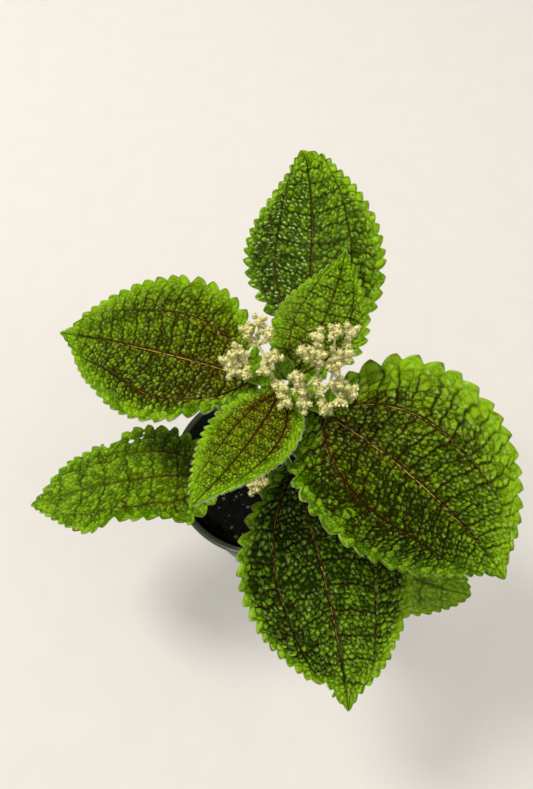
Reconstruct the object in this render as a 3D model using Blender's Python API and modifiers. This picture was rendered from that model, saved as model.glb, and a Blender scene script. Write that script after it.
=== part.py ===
"""A potted moon valley pilea, in metres with +Z up.

A thin nursery pot holds potting mix. One stem stands in a plain hole in the mix and carries
four crossed pairs of quilted, toothed leaves and five sprays of tiny cream flowers.
The origin is the middle of the pot's flat base. Sizes below are in millimetres.
"""

import math
from collections import namedtuple

import bmesh
import bpy
import numpy as np
from mathutils import Matrix, Vector, noise

MM = 0.001
GAP = 0.3

# The pot
POT_HEIGHT = 78.0
RIM_RADIUS = 45.0
BASE_RADIUS = 31.0
WALL = 1.2
FLOOR = 1.6
BAND_HEIGHT = 11.0
BAND_STEP = 1.4
BAND_FLARE = 0.6
EDGE_SOFTNESS = 0.8
LIP_HEIGHT = 3.0
LIP_STEP = 1.8
POT_STEPS = 36
DRAIN_HOLES = 5
DRAIN_HOLE_RADIUS = 3.5
DRAIN_CIRCLE_RADIUS = 20.0
DRAIN_TURN = 0.3

# The potting mix
MIX_TOP = 66.0
MIX_CLEARANCE = 0.6
MIX_EDGE_DROP = 1.0
MIX_RELIEF = 1.6
MIX_SIDES = 26
MIX_RINGS = (0.18, 0.36, 0.54, 0.72, 0.88)
CRUMB_SCALE = 0.23
CRUMB_SEED = 4.7
CRUMB_RIPPLE = 0.6
CRUMB_STEP = 5.1

# The stem, from its foot in the mix to the tip: x, y, z and radius, with a swelling at each node
STEM = [
    (-4.0, -2.0, 36.0, 2.6),
    (-3.5, -2.0, 66.0, 2.6),
    (0.0, -1.0, 86.0, 2.8),
    (3.5, 0.0, 100.0, 2.2),
    (7.0, 1.0, 114.0, 2.6),
    (9.5, 3.0, 128.0, 1.9),
    (11.0, 5.0, 140.0, 2.3),
    (11.5, 5.5, 148.0, 1.9),
    (11.7, 5.7, 151.0, 1.0),
]
STEM_SMOOTHING = 3
STEM_HOLE_CLEARANCE = 0.5

# The leaves. base is the point where the blade meets its stalk. Angles are in degrees: heading
# is measured from +X towards +Y, pitch is the rise at the base and droop what is lost to the tip,
# bend turns the midrib sideways, roll lifts the left half, twist adds roll towards the tip, and
# cup turns the margins down, or up where it is negative. shoulder and taper shape the outline at
# its base and tip: smaller is rounder. lean is how much wider the left half is than the mean, and
# uneven_base and uneven_tip are how much rounder it is at its base and how much finer at its tip.
Leaf = namedtuple(
    "Leaf",
    "name node_height base length width heading pitch droop bend roll twist cup"
    " shoulder taper lean uneven_base uneven_tip teeth",
)
LEAVES = [
    Leaf(
        "leaf_crown_back", 148, (13.8, 8.6, 154), 56, 40, 65, 33, 16, 27, 1, 2, 8,
        0.64, 0.96, 0.03, 0.11, 0.0, 13,
    ),
    Leaf(
        "leaf_crown_front", 148, (8.7, 3.3, 153), 65, 35, -121, 16, 6, -21, 4, 14, 9,
        0.57, 0.87, -0.09, 0.03, 0.19, 14,
    ),
    Leaf(
        "leaf_left", 140, (-2.7, 12.2, 146), 97, 74, 160, -3, 12, 3, -5, -16, -8,
        0.66, 0.85, -0.09, -0.12, 0.11, 19,
    ),
    Leaf(
        "leaf_right", 140, (23, -2, 146), 99, 95, -40, 2, 33, -13, -5, 2, -28,
        0.41, 0.64, 0.01, 0.13, -0.25, 19,
    ),
    Leaf(
        "leaf_back", 114, (17.5, 36.7, 130), 91, 67, 88, 39, 17, 27, -14, 4, 9,
        0.66, 0.78, 0.0, -0.27, 0.14, 18,
    ),
    Leaf(
        "leaf_front", 114, (12.7, -21.9, 130), 97, 76, -76, -4, 31, -10, -14, 12, -4,
        0.69, 0.81, 0.06, -0.03, -0.06, 19,
    ),
    Leaf(
        "leaf_low_left", 86, (-16.7, -11.9, 98), 93, 67, -172, 10, 29, 11, 20, 4, 2,
        0.56, 0.76, 0.04, -0.05, 0.09, 18,
    ),
    Leaf(
        "leaf_low_right", 86, (12.8, -22, 93), 92, 57, -29, 7, 15, 38, 34, 2, 16,
        0.47, 0.60, 0.03, -0.05, -0.06, 18,
    ),
]
BLADE_THICKNESS = 0.8
MIDRIB_RIDGE = 1.0
SIDE_VEIN_RIDGE = 0.4
BLADE_COLUMNS = 8
SIDE_VEIN_COLUMNS = (2, 6)
QUILT_HEIGHT = 1.0
VEIN_DEPTH = 0.45
TOOTH_DEPTH = 2.4
TOOTH_DEPTH_SHARE = 0.11
TOOTH_LEAN = 0.9
TOOTH_LIFT = 0.3
FULL_RELIEF_REACH = 7.0
RIDGE_FADE = 0.7
DRIP_TIP = 0.06
TIP_HALF_WIDTH = 0.5
STALK_RADIUS = 1.25
STALK_SECTIONS = 5
STALK_EASE = 0.4
STALK_SEAM = math.radians(12.0)
STALK_SEAT_GAP = 0.6

# The flower sprays: where each leaves the stem, the points its stalk forks at, and its heads
Spray = namedtuple("Spray", "name stem_height heading forks")
SPRAYS = [
    Spray(
        "spray_left", 149, 155,
        [
            ((5, 7, 157), [(8, -1, 161), (10, -6, 160)]),
            ((1, 14, 164), [(2, 7, 162), (6, 11, 165)]),
            ((-2, 16, 166), [(0, 23, 172), (-5, 20, 170), (3, 18, 170)]),
            ((-5, 12, 165), [(-9, 13, 166), (-13, 11, 163), (-11, 7, 161), (-6, 6, 161)]),
        ],
    ),
    Spray(
        "spray_right", 150, -20,
        [
            ((18, 2, 157), [(16, -2, 161), (14, 2, 164), (17, -7, 159)]),
            ((22, 4, 163), [(23, -2, 163), (25, -8, 159)]),
            ((23, 5, 168), [(17, 8, 173), (22, 6, 174), (22, 12, 178)]),
            ((28, 5, 170), [(28, 13, 180), (34, 13, 180), (33, 6, 176), (28, 3, 171)]),
            ((27, 0, 164), [(30, -1, 166), (35, -4, 165), (31, -6, 161)]),
        ],
    ),
    Spray("spray_low_left", 130, 190, [((-10, 2, 136), [(-16, 2, 139), (-14, -4, 137)])]),
    Spray("spray_low_right", 124, -40, [((15, -3, 134), [(16, -4, 140), (20, -8, 136)])]),
    Spray("spray_low_front", 104, -100, [((0, -15, 109), [(-3, -24, 112), (2, -22, 111)])]),
]
PEDUNCLE_RADIUS = 0.75
BRANCH_RADIUS = 0.5
HEAD_CORE_RADIUS = 2.3
BUD_REACH = 1.5
HEAD_SPIN_AXIS = Vector((0.3, 0.5, 0.8))
FORK_SPIN = 1.7
HEAD_SPIN = 0.9

# Colour, roughness of each finish
FINISHES = {
    "pot_plastic": ((0.030, 0.045, 0.032), 0.45),
    "potting_mix": ((0.012, 0.010, 0.008), 0.95),
    "stem_green": ((0.30, 0.27, 0.12), 0.70),
    "leaf_green": ((0.100, 0.190, 0.012), 0.45),
    "flower_cream": ((0.50, 0.52, 0.17), 0.80),
}


def clear_scene():
    for old in list(bpy.data.objects):
        bpy.data.objects.remove(old)


def new_collection(name):
    made = bpy.data.collections.new(name)
    bpy.context.scene.collection.children.link(made)
    return made


def finish(name):
    colour, roughness = FINISHES[name]
    material = bpy.data.materials.get(name) or bpy.data.materials.new(name)
    material.use_nodes = True
    shader = material.node_tree.nodes["Principled BSDF"]
    shader.inputs["Base Color"].default_value = (*colour, 1.0)
    shader.inputs["Roughness"].default_value = roughness
    shader.inputs["Metallic"].default_value = 0.0
    return material


def add_object(name, mesh, collection, material=None):
    made = bpy.data.objects.new(name, mesh)
    collection.objects.link(made)
    if material:
        mesh.materials.clear()
        mesh.materials.append(finish(material))
    return made


def mesh_from(name, points, faces):
    """A mesh from points in millimetres, with its faces turned outwards."""
    mesh = bpy.data.meshes.new(name)
    mesh.from_pydata([tuple(c * MM for c in p) for p in points], [], faces)
    shell = bmesh.new()
    shell.from_mesh(mesh)
    bmesh.ops.recalc_face_normals(shell, faces=shell.faces)
    shell.to_mesh(mesh)
    shell.free()
    return mesh


def turned(name, profile, steps, collection):
    """A profile of (radius, height) turned round +Z, running down its outer side."""
    mesh = bpy.data.meshes.new(name)
    points = [(r * MM, 0.0, z * MM) for r, z in profile]
    mesh.from_pydata(points, [(i, i + 1) for i in range(len(points) - 1)], [])
    made = add_object(name, mesh, collection)
    screw = made.modifiers.new("turn", "SCREW")
    screw.steps = steps
    screw.render_steps = steps
    screw.use_merge_vertices = True
    screw.merge_threshold = 1e-5
    screw.use_smooth_shade = True
    return made


def wall_radius(height):
    """Outer radius of the tapered wall below the band."""
    band_foot = POT_HEIGHT - BAND_HEIGHT
    top = RIM_RADIUS - LIP_STEP - BAND_STEP - BAND_FLARE
    return BASE_RADIUS + (top - BASE_RADIUS) * height / band_foot


def make_pot(collection, cutters):
    band_foot = POT_HEIGHT - BAND_HEIGHT
    band_radius = RIM_RADIUS - LIP_STEP
    soft = EDGE_SOFTNESS
    profile = [
        (0.0, FLOOR),
        (wall_radius(FLOOR) - WALL, FLOOR),
        (wall_radius(band_foot) - WALL, band_foot - soft),
        (band_radius - BAND_FLARE - WALL, band_foot + soft),
        (band_radius - WALL, POT_HEIGHT - 2 * soft),
        (band_radius - WALL + soft, POT_HEIGHT),
        (RIM_RADIUS - soft, POT_HEIGHT),
        (RIM_RADIUS, POT_HEIGHT - soft),
        (RIM_RADIUS, POT_HEIGHT - LIP_HEIGHT + soft),
        (RIM_RADIUS - soft, POT_HEIGHT - LIP_HEIGHT),
        (band_radius, POT_HEIGHT - LIP_HEIGHT),
        (band_radius - BAND_FLARE, band_foot),
        (wall_radius(band_foot), band_foot - soft),
        (wall_radius(soft), soft),
        (BASE_RADIUS - soft, 0.0),
        (0.0, 0.0),
    ]
    pot = turned("pot", profile, POT_STEPS, collection)
    pot.data.materials.append(finish("pot_plastic"))
    holes = bmesh.new()
    for i in range(DRAIN_HOLES):
        angle = 2 * math.pi * i / DRAIN_HOLES + DRAIN_TURN
        place = Matrix.Translation(
            Vector((math.cos(angle), math.sin(angle), 0.0)) * DRAIN_CIRCLE_RADIUS * MM
        )
        bmesh.ops.create_cone(
            holes, cap_ends=True, segments=10, radius1=DRAIN_HOLE_RADIUS * MM,
            radius2=DRAIN_HOLE_RADIUS * MM, depth=6 * FLOOR * MM, matrix=place,
        )
    mesh = bpy.data.meshes.new("drain_hole_cutter")
    holes.to_mesh(mesh)
    holes.free()
    cutter = add_object("drain_hole_cutter", mesh, cutters)
    cutter.hide_render = True
    cutter.display_type = "WIRE"
    cut = pot.modifiers.new("drain_holes", "BOOLEAN")
    cut.operation = "DIFFERENCE"
    cut.object = cutter


def ring(centre, radius, height, sides, relief=0.0):
    """Points of a level ring, its heights lifted and sunk by a crumbly noise."""
    points = []
    for i in range(sides):
        a = 2 * math.pi * i / sides
        x, y = centre[0] + radius * math.cos(a), centre[1] + radius * math.sin(a)
        lump = noise.noise(Vector((x * CRUMB_SCALE, y * CRUMB_SCALE, CRUMB_SEED)))
        lump += CRUMB_RIPPLE * math.sin(CRUMB_STEP * i + radius)
        points.append((x, y, height + relief * lump))
    return points


def skin_rings(name, rings):
    """A closed skin over rings of equal size, each end closed by a flat cap."""
    sides = len(rings[0])
    points = [p for one in rings for p in one]
    faces = []
    for j in range(len(rings) - 1):
        for i in range(sides):
            a, b = j * sides + i, j * sides + (i + 1) % sides
            faces.append((a, b, b + sides, a + sides))
    faces.append(tuple(range(sides)))
    faces.append(tuple(range(len(points) - sides, len(points))))
    return mesh_from(name, points, faces)


def make_mix(collection):
    """Potting mix that fills the pot, with a plain hole for the stem."""
    foot = STEM[0]
    mouth = STEM[1]
    hole = foot[3] + STEM_HOLE_CLEARANCE
    top = wall_radius(MIX_TOP) - WALL - MIX_CLEARANCE
    bottom = wall_radius(FLOOR) - WALL - MIX_CLEARANCE
    rings = [
        ring(foot, hole, foot[2] - GAP, MIX_SIDES),
        ring(mouth, hole, MIX_TOP, MIX_SIDES),
    ]
    for share in MIX_RINGS:
        centre = (mouth[0] * (1 - share), mouth[1] * (1 - share))
        rings.append(ring(centre, top * share, MIX_TOP, MIX_SIDES, MIX_RELIEF))
    rings.append(ring((0, 0), top, MIX_TOP - MIX_EDGE_DROP, MIX_SIDES))
    rings.append(ring((0, 0), bottom, FLOOR + GAP, MIX_SIDES))
    add_object("potting_mix", skin_rings("potting_mix", rings), collection, "potting_mix")


def smooth_path(points, steps):
    """Catmull-Rom points through the given ones, which may carry a radius as fourth value."""
    p = np.array(points, float)
    p = np.vstack([2 * p[0] - p[1], p, 2 * p[-1] - p[-2]])
    found = []
    for i in range(1, len(p) - 2):
        for step in range(steps):
            t = step / steps
            found.append(
                0.5 * (2 * p[i] + (p[i + 1] - p[i - 1]) * t
                       + (2 * p[i - 1] - 5 * p[i] + 4 * p[i + 1] - p[i + 2]) * t * t
                       + (3 * p[i] - p[i - 1] - 3 * p[i + 1] + p[i + 2]) * t ** 3)
            )
    found.append(p[-2])
    return np.array(found)


def tube(name, points, radii, collection, resolution=2):
    """A capped round tube as a curve object."""
    curve = bpy.data.curves.new(name, "CURVE")
    curve.dimensions = "3D"
    curve.bevel_depth = MM
    curve.bevel_resolution = resolution
    curve.use_fill_caps = True
    spline = curve.splines.new("POLY")
    spline.points.add(len(points) - 1)
    for place, point, radius in zip(spline.points, points, radii):
        place.co = (*(c * MM for c in point), 1.0)
        place.radius = radius
    made = bpy.data.objects.new(name, curve)
    collection.objects.link(made)
    return made


def tube_mesh(name, points, radii, collection):
    """The same tube as a welded mesh, ready for a Boolean."""
    source = tube(name + "_path", points, radii, collection, resolution=0)
    graph = bpy.context.evaluated_depsgraph_get()
    mesh = bpy.data.meshes.new_from_object(source.evaluated_get(graph))
    shell = bmesh.new()
    shell.from_mesh(mesh)
    bmesh.ops.remove_doubles(shell, verts=shell.verts, dist=1e-6)
    bmesh.ops.recalc_face_normals(shell, faces=shell.faces)
    shell.to_mesh(mesh)
    shell.free()
    bpy.data.objects.remove(source)
    return add_object(name, mesh, collection)


def make_stem(collection):
    path = smooth_path(STEM, STEM_SMOOTHING)
    stem = tube("stem", path[:, :3], path[:, 3], collection)
    stem.data.materials.append(finish("stem_green"))


def stem_at(height):
    """Centre and radius of the stem at a height."""
    path = smooth_path(STEM, STEM_SMOOTHING)
    return [float(np.interp(height, path[:, 2], path[:, i])) for i in (0, 1, 3)]


def seat_on_stem(height, heading):
    """The point just clear of the stem's skin at a height, on the side of a heading in radians."""
    x, y, radius = stem_at(height)
    reach = radius + STALK_SEAT_GAP
    return np.array([x + reach * math.cos(heading), y + reach * math.sin(heading), height])


def outline(leaf, rows, side):
    """(share along, half width) at rows + 1 stations spaced evenly round the margin of the left
    side, 1, or the right side, -1."""
    shoulder = leaf.shoulder * (1 - side * leaf.uneven_base)
    taper = leaf.taper * (1 + side * leaf.uneven_tip)
    half_width = leaf.width / 2 * (1 + side * leaf.lean)
    x = (1 - np.cos(np.linspace(0, np.pi, 2000))) / 2
    widest = shoulder / (shoulder + taper)
    half = half_width * (x / widest) ** shoulder * ((1 - x) / (1 - widest)) ** taper
    along = (1 - DRIP_TIP) * x + DRIP_TIP * x ** 10
    steps = np.hypot(np.diff(along), np.diff(half) / leaf.length)
    travelled = np.concatenate([[0.0], np.cumsum(steps)])
    wanted = np.linspace(0.0, travelled[-1], rows + 1)
    return np.interp(wanted, travelled, along), np.interp(wanted, travelled, half)


def on_leaf(leaf, along, across, lift):
    """Points of the leaf's curved sheet: along the midrib from 0 to 1, across and lift in mm."""
    u = np.linspace(0.0, 1.0, 201)
    pitch = np.radians(leaf.pitch - leaf.droop * u)
    heading = np.radians(leaf.heading + leaf.bend * (u - 0.5))
    ahead = np.stack(
        [np.cos(pitch) * np.cos(heading), np.cos(pitch) * np.sin(heading), np.sin(pitch)], 1
    )
    steps = (ahead[1:] + ahead[:-1]) / 2 * leaf.length / (len(u) - 1)
    path = np.vstack([np.zeros(3), np.cumsum(steps, axis=0)]) + leaf.base

    def read(table):
        return np.stack([np.interp(along, u, table[:, i]) for i in range(3)], -1)

    level = np.stack([-np.sin(heading), np.cos(heading), 0 * u], 1)
    forward, level = read(ahead), read(level)
    raised = np.cross(forward, level)
    roll = np.radians(leaf.roll + leaf.twist * (along - 0.5))[..., None]
    side = level * np.cos(roll) + raised * np.sin(roll)
    up = np.cross(forward, side)
    curl = math.radians(leaf.cup) / (leaf.width / 2)
    turn = curl * np.abs(across)
    out = np.sign(across) * np.abs(across) * np.sinc(turn / np.pi)
    down = np.abs(across) * turn / 2 * np.sinc(turn / 2 / np.pi) ** 2
    normal = up * np.cos(turn)[..., None] + side * (np.sign(across) * np.sin(turn))[..., None]
    return read(path) + side * out[..., None] - up * down[..., None] + normal * lift[..., None]


def blade_rings(leaf):
    """Rings round the blade, base to tip: across the upper face, then back along the lower."""
    rows = 2 * leaf.teeth
    share = np.linspace(-1.0, 1.0, BLADE_COLUMNS + 1)
    left_along, left_half = outline(leaf, rows, 1)
    right_along, right_half = outline(leaf, rows, -1)
    edge_along = np.where(share > 0, left_along[:, None], right_along[:, None])
    half = np.where(share > 0, left_half[:, None], right_half[:, None])
    row = np.arange(rows + 1)[:, None]
    column = np.arange(BLADE_COLUMNS + 1)[None, :]
    tooth = np.where(row % 2 == 1, 1.0, -1.0)
    full = np.clip(half / FULL_RELIEF_REACH, 0.0, 1.0)
    half_width = np.maximum(half, TIP_HALF_WIDTH)
    # The margin's direction, towards the tip and outwards, which the teeth follow
    forward = np.gradient(edge_along, axis=0) * leaf.length
    outward = np.gradient(half, axis=0)
    step = np.hypot(forward, outward)
    forward, outward = forward / step, outward / step
    inset = np.minimum(TOOTH_DEPTH, TOOTH_DEPTH_SHARE * half_width) * (1 - tooth) / 2
    slide = TOOTH_LEAN * full * tooth
    near_rim = np.abs(share) ** 4
    middle = row / rows
    along = middle + (edge_along - middle) * np.abs(share) ** 1.5
    along = along + near_rim * (slide * forward + inset * outward) / leaf.length
    across = share * half_width + np.sign(share) * near_rim * (slide * outward - inset * forward)
    along[0] = 0.0
    is_vein = (column % 2 == 0) & (column > 0) & (column < BLADE_COLUMNS)
    on_rim = (column == 0) | (column == BLADE_COLUMNS)
    quilt = np.where((row + column // 2) % 2 == 1, QUILT_HEIGHT, 0.0)
    relief = full * np.where(is_vein, -VEIN_DEPTH, np.where(on_rim, TOOTH_LIFT * tooth, quilt))
    fade = 1 - RIDGE_FADE * middle
    ridge = np.where(column == BLADE_COLUMNS // 2, MIDRIB_RIDGE * fade, 0.0)
    ridge = ridge + np.where(np.isin(column, SIDE_VEIN_COLUMNS), SIDE_VEIN_RIDGE * fade * full, 0.0)
    top = on_leaf(leaf, along, across, relief)
    under = on_leaf(leaf, along, across, relief - BLADE_THICKNESS - ridge)
    return [np.vstack([t, b[::-1]]) for t, b in zip(top[1:], under[1:])]


def stalk_rings(leaf):
    """Rings round the leaf's stalk, from its seat on the stem to the blade."""
    end = on_leaf(leaf, np.array(0.0), np.array(0.0), np.array(-0.5 * BLADE_THICKNESS))
    ahead = on_leaf(leaf, np.array(0.02), np.array(0.0), np.array(0.0)) - leaf.base
    ahead /= np.linalg.norm(ahead)
    end_side = on_leaf(leaf, np.array(0.0), np.array(1.0), np.array(0.0)) - leaf.base
    x, y, _ = stem_at(leaf.node_height)
    heading = math.atan2(leaf.base[1] - y, leaf.base[0] - x)
    start = seat_on_stem(leaf.node_height, heading)
    start_ahead = np.array([math.cos(heading), math.sin(heading), 0.0])
    start_ahead += (end - start) / np.linalg.norm(end - start)
    start_ahead /= np.linalg.norm(start_ahead)
    start_side = np.array([-math.sin(heading), math.cos(heading), 0.0])
    reach = STALK_EASE * np.linalg.norm(end - start)
    first, second = start + start_ahead * reach, end - ahead * reach
    over = np.linspace(math.pi - STALK_SEAM, STALK_SEAM, BLADE_COLUMNS + 1)
    angles = np.concatenate([over, -over[::-1]])
    rings = []
    for step in range(STALK_SECTIONS):
        t = step / STALK_SECTIONS
        u = 1 - t
        centre = u ** 3 * start + 3 * t * u * u * first + 3 * t * t * u * second + t ** 3 * end
        along = u * u * (first - start) + 2 * t * u * (second - first) + t * t * (end - second)
        along /= np.linalg.norm(along)
        side = start_side * u + end_side * t
        side -= along * side.dot(along)
        side /= np.linalg.norm(side)
        up = np.cross(along, side)
        rings.append(
            centre
            + STALK_RADIUS * (np.cos(angles)[:, None] * side + np.sin(angles)[:, None] * up)
        )
    return rings


def make_leaf(leaf, collection):
    """A leaf's stalk and blade as one closed body, both faces split into the same triangles."""
    rings = stalk_rings(leaf) + blade_rings(leaf)
    columns = BLADE_COLUMNS + 1
    size = 2 * columns
    points = np.vstack(rings)
    faces = []
    for j in range(len(rings) - 1):
        for k in range(size):
            a, b = j * size + k, j * size + (k + 1) % size
            c, d = b + size, a + size
            # Each diagonal runs outwards and towards the tip, on both faces alike.
            if k % columns >= columns // 2:
                faces += [(a, b, c), (a, c, d)]
            else:
                faces += [(a, b, d), (b, c, d)]
    for first in (0, (len(rings) - 1) * size):
        for k in range(columns - 1):
            a, b = first + k, first + k + 1
            faces.append((a, b, first + size - 2 - k, first + size - 1 - k))
    add_object(leaf.name, mesh_from(leaf.name, points, faces), collection, "leaf_green")


def make_head(centre, spin, collection):
    """A dense flower head: a small core with a pointed bud standing out of each of its faces."""
    shape = bmesh.new()
    place = Matrix.Translation(Vector(centre) * MM) @ Matrix.Rotation(spin, 4, HEAD_SPIN_AXIS)
    bmesh.ops.create_icosphere(shape, subdivisions=1, radius=HEAD_CORE_RADIUS * MM, matrix=place)
    bmesh.ops.poke(shape, faces=shape.faces, offset=BUD_REACH * MM)
    mesh = bpy.data.meshes.new("head")
    shape.to_mesh(mesh)
    shape.free()
    add_object("head", mesh, collection)


def make_spray(spray, collection):
    """A forked flower stalk and its heads, joined into one body."""
    pieces = new_collection(spray.name + "_pieces")
    start = seat_on_stem(spray.stem_height, math.radians(spray.heading))
    main = [start] + [np.array(point, float) for point, _ in spray.forks]
    stalk = tube_mesh(spray.name, main, [PEDUNCLE_RADIUS] * len(main), collection)
    for number, (fork, heads) in enumerate(spray.forks):
        for count, head in enumerate(heads):
            ends = [np.array(fork, float), np.array(head, float)]
            tube_mesh("branch", ends, [BRANCH_RADIUS] * 2, pieces)
            make_head(head, FORK_SPIN * number + HEAD_SPIN * count, pieces)
    join = stalk.modifiers.new("join", "BOOLEAN")
    join.operation = "UNION"
    join.operand_type = "COLLECTION"
    join.collection = pieces
    join.solver = "EXACT"
    graph = bpy.context.evaluated_depsgraph_get()
    joined = bpy.data.meshes.new_from_object(stalk.evaluated_get(graph))
    stalk.modifiers.clear()
    stalk.data = joined
    joined.materials.clear()
    joined.materials.append(finish("flower_cream"))
    for piece in list(pieces.objects):
        bpy.data.objects.remove(piece)
    bpy.data.collections.remove(pieces)


def main():
    clear_scene()
    plant = new_collection("potted_moon_valley_pilea")
    cutters = new_collection("cutters")
    make_pot(plant, cutters)
    make_mix(plant)
    make_stem(plant)
    for leaf in LEAVES:
        make_leaf(leaf, plant)
    for spray in SPRAYS:
        make_spray(spray, plant)


main()
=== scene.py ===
# %% [markdown]
# # A potted moon valley pilea
# This lesson dresses the plain solids of a small houseplant so that they look like the real
# plant: quilted leaves with teeth and sunken veins, sprays of tiny flowers, a thin nursery pot
# and dark crumbly mix. The solids come from the packed model and stay the frame: every new piece
# sits where its solid sits. Sizes are in millimetres and become metres only where a mesh is made.

# %% Load the frame
import math
from collections import namedtuple

import bmesh
import bpy
import numpy as np
from mathutils import Matrix, Vector, noise


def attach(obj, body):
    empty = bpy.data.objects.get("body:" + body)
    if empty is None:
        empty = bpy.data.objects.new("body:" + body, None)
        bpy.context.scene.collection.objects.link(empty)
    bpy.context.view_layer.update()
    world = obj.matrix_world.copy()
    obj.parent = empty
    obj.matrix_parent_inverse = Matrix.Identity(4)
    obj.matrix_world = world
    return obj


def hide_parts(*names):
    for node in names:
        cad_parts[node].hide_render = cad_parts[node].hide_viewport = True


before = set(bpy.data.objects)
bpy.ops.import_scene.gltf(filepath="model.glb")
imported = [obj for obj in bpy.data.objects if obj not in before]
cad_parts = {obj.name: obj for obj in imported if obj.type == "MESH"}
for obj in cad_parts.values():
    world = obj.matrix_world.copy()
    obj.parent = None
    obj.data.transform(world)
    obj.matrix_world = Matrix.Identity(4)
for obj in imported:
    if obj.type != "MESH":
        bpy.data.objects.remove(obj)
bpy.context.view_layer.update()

MM = 0.001
scene = bpy.context.scene
print("solids:", ", ".join(sorted(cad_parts)))

# %% [markdown]
# ## The camera
# The plant is seen from above and in front, 62 degrees below the horizon. A camera looks down its
# own -Z, so one turn about X is enough. The lens follows from the size of the pot's rim in the
# picture: a short lens near the plant makes the high leaves look larger beside the pot, which a
# long lens could not do.

# %% Place the camera
CAMERA_PLACE = (0.0025659, -0.1193183, 0.3792449)
CAMERA_DOWN = math.radians(62.0)
SENSOR = 36.0
FOCAL_SHARE = 640.0 / 789.0


def add_object(name, data):
    made = bpy.data.objects.new(name, data)
    scene.collection.objects.link(made)
    return made


camera_data = bpy.data.cameras.new("camera")
camera_data.sensor_width = SENSOR
camera_data.lens = FOCAL_SHARE * SENSOR
camera_data.clip_start = 0.01
camera = add_object("camera", camera_data)
camera.location = CAMERA_PLACE
camera.rotation_euler = (math.pi / 2 - CAMERA_DOWN, 0.0, 0.0)
scene.camera = camera
scene.view_settings.view_transform = "Standard"
print("camera lens in mm:", round(camera_data.lens, 1))

# %% [markdown]
# ## Shader helpers
# A material is a small network of nodes. A Nodes object adds nodes to one network: each call adds
# a node, fills its inputs and gives back its output, so that a finish reads as a short list of
# steps. An input takes a constant, another node's output, or the name of a value that was stored
# on the mesh, point by point.

# %% Helpers that add shader nodes
class Nodes:
    def __init__(self, tree):
        self.tree = tree

    def put(self, target, value):
        """Fills one input of a node."""
        if isinstance(value, str):
            value = self.add("Attribute", {}, "Fac", attribute_name=value)
        if isinstance(value, bpy.types.NodeSocket):
            self.tree.links.new(value, target)
        elif isinstance(value, tuple) and target.type == "RGBA":
            target.default_value = (*value, 1.0)
        else:
            target.default_value = value

    def add(self, kind, inputs, output=0, **settings):
        node = self.tree.nodes.new("ShaderNode" + kind)
        for name, value in settings.items():
            setattr(node, name, value)
        for name, value in inputs.items():
            self.put(node.inputs[name], value)
        return node.outputs[output]

    def maths(self, operation, first, second=0.5, clamp=False):
        return self.add("Math", {0: first, 1: second}, operation=operation, use_clamp=clamp)

    def plus(self, first, second, clamp=False):
        return self.maths("ADD", first, second, clamp)

    def times(self, first, second, clamp=False):
        return self.maths("MULTIPLY", first, second, clamp)

    def blend(self, factor, first, second, mode="MIX"):
        """A colour between two colours, or the first one multiplied by the second."""
        inputs = {0: factor, 6: first, 7: second}
        return self.add("Mix", inputs, 2, data_type="RGBA", blend_type=mode)

    def spread(self, value, low, high, to_low=0.0, to_high=1.0):
        """Maps a value softly from one range to another."""
        inputs = dict(enumerate((value, low, high, to_low, to_high)))
        return self.add("MapRange", inputs, interpolation_type="SMOOTHSTEP")

    def speckle(self, scale, detail=2.0, roughness=0.5):
        """Smooth noise in the object's own space, with its scale per metre."""
        place = self.add("TexCoord", {}, "Object")
        inputs = {"Vector": place, "Scale": scale, "Detail": detail, "Roughness": roughness}
        return self.add("TexNoise", inputs, "Fac")


print("kinds of steps:", [name for name in vars(Nodes) if name[0] != "_"])

# %% [markdown]
# ## A shared grain
# Plastic, leaf, petal and bark all have a fine grain that breaks up their highlights. It is one
# node group with named inputs, used by every material here, so that the grain is tuned in one
# place. It gives a height for a Bump node and a value that lightens or darkens the colour.

# %% Make the grain group
COARSE_SHARE = 0.12


def make_grain():
    group = bpy.data.node_groups.new("grain", "ShaderNodeTree")
    for name, default in (("Scale", 900.0), ("Detail", 3.0)):
        socket = group.interface.new_socket(name, in_out="INPUT", socket_type="NodeSocketFloat")
        socket.default_value = default
    for name in ("Height", "Drift"):
        group.interface.new_socket(name, in_out="OUTPUT", socket_type="NodeSocketFloat")
    given = group.nodes.new("NodeGroupInput").outputs
    result = group.nodes.new("NodeGroupOutput").inputs
    nodes = Nodes(group)
    nodes.put(result["Height"], nodes.speckle(given["Scale"], given["Detail"], 0.6))
    coarse = nodes.speckle(nodes.times(given["Scale"], COARSE_SHARE))
    nodes.put(result["Drift"], nodes.spread(coarse, 0.3, 0.7))
    return group


GRAIN = make_grain()
print("grain group:", [socket.name for socket in GRAIN.interface.items_tree])

# %% [markdown]
# The shader itself stays in each material. A Finish is a material with its shader at hand: it
# fills the shader's inputs, adds the grain and turns a height into bumps.

# %% A material to build on
class Finish(Nodes):
    def __init__(self, name, roughness, specular):
        self.material = bpy.data.materials.new(name)
        self.material.use_nodes = True
        super().__init__(self.material.node_tree)
        self.shader = self.tree.nodes["Principled BSDF"]
        self.set("Roughness", roughness)
        self.set("Specular IOR Level", specular)

    def set(self, name, value):
        """Fills one input of the shader."""
        self.put(self.shader.inputs[name], value)

    def grain(self, scale, detail=3.0):
        """Height and drift of the shared grain."""
        inputs = {"Scale": scale, "Detail": detail}
        height = self.add("Group", inputs, "Height", node_tree=GRAIN)
        return height, height.node.outputs["Drift"]

    def bump(self, height, strength, distance):
        inputs = {"Strength": strength, "Distance": distance, "Height": height}
        self.set("Normal", self.add("Bump", inputs, "Normal"))


print("finish helpers:", [name for name in vars(Finish) if name[0] != "_"])

# %% [markdown]
# ## Meshes from points
# Leaves, flowers and hairs are made the same way: points worked out in numpy, faces that join
# them, and a few named values for each point that the shader reads later. A Skin gathers several
# closed shapes, so that a whole spray or a whole set of hairs becomes one object.

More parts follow.
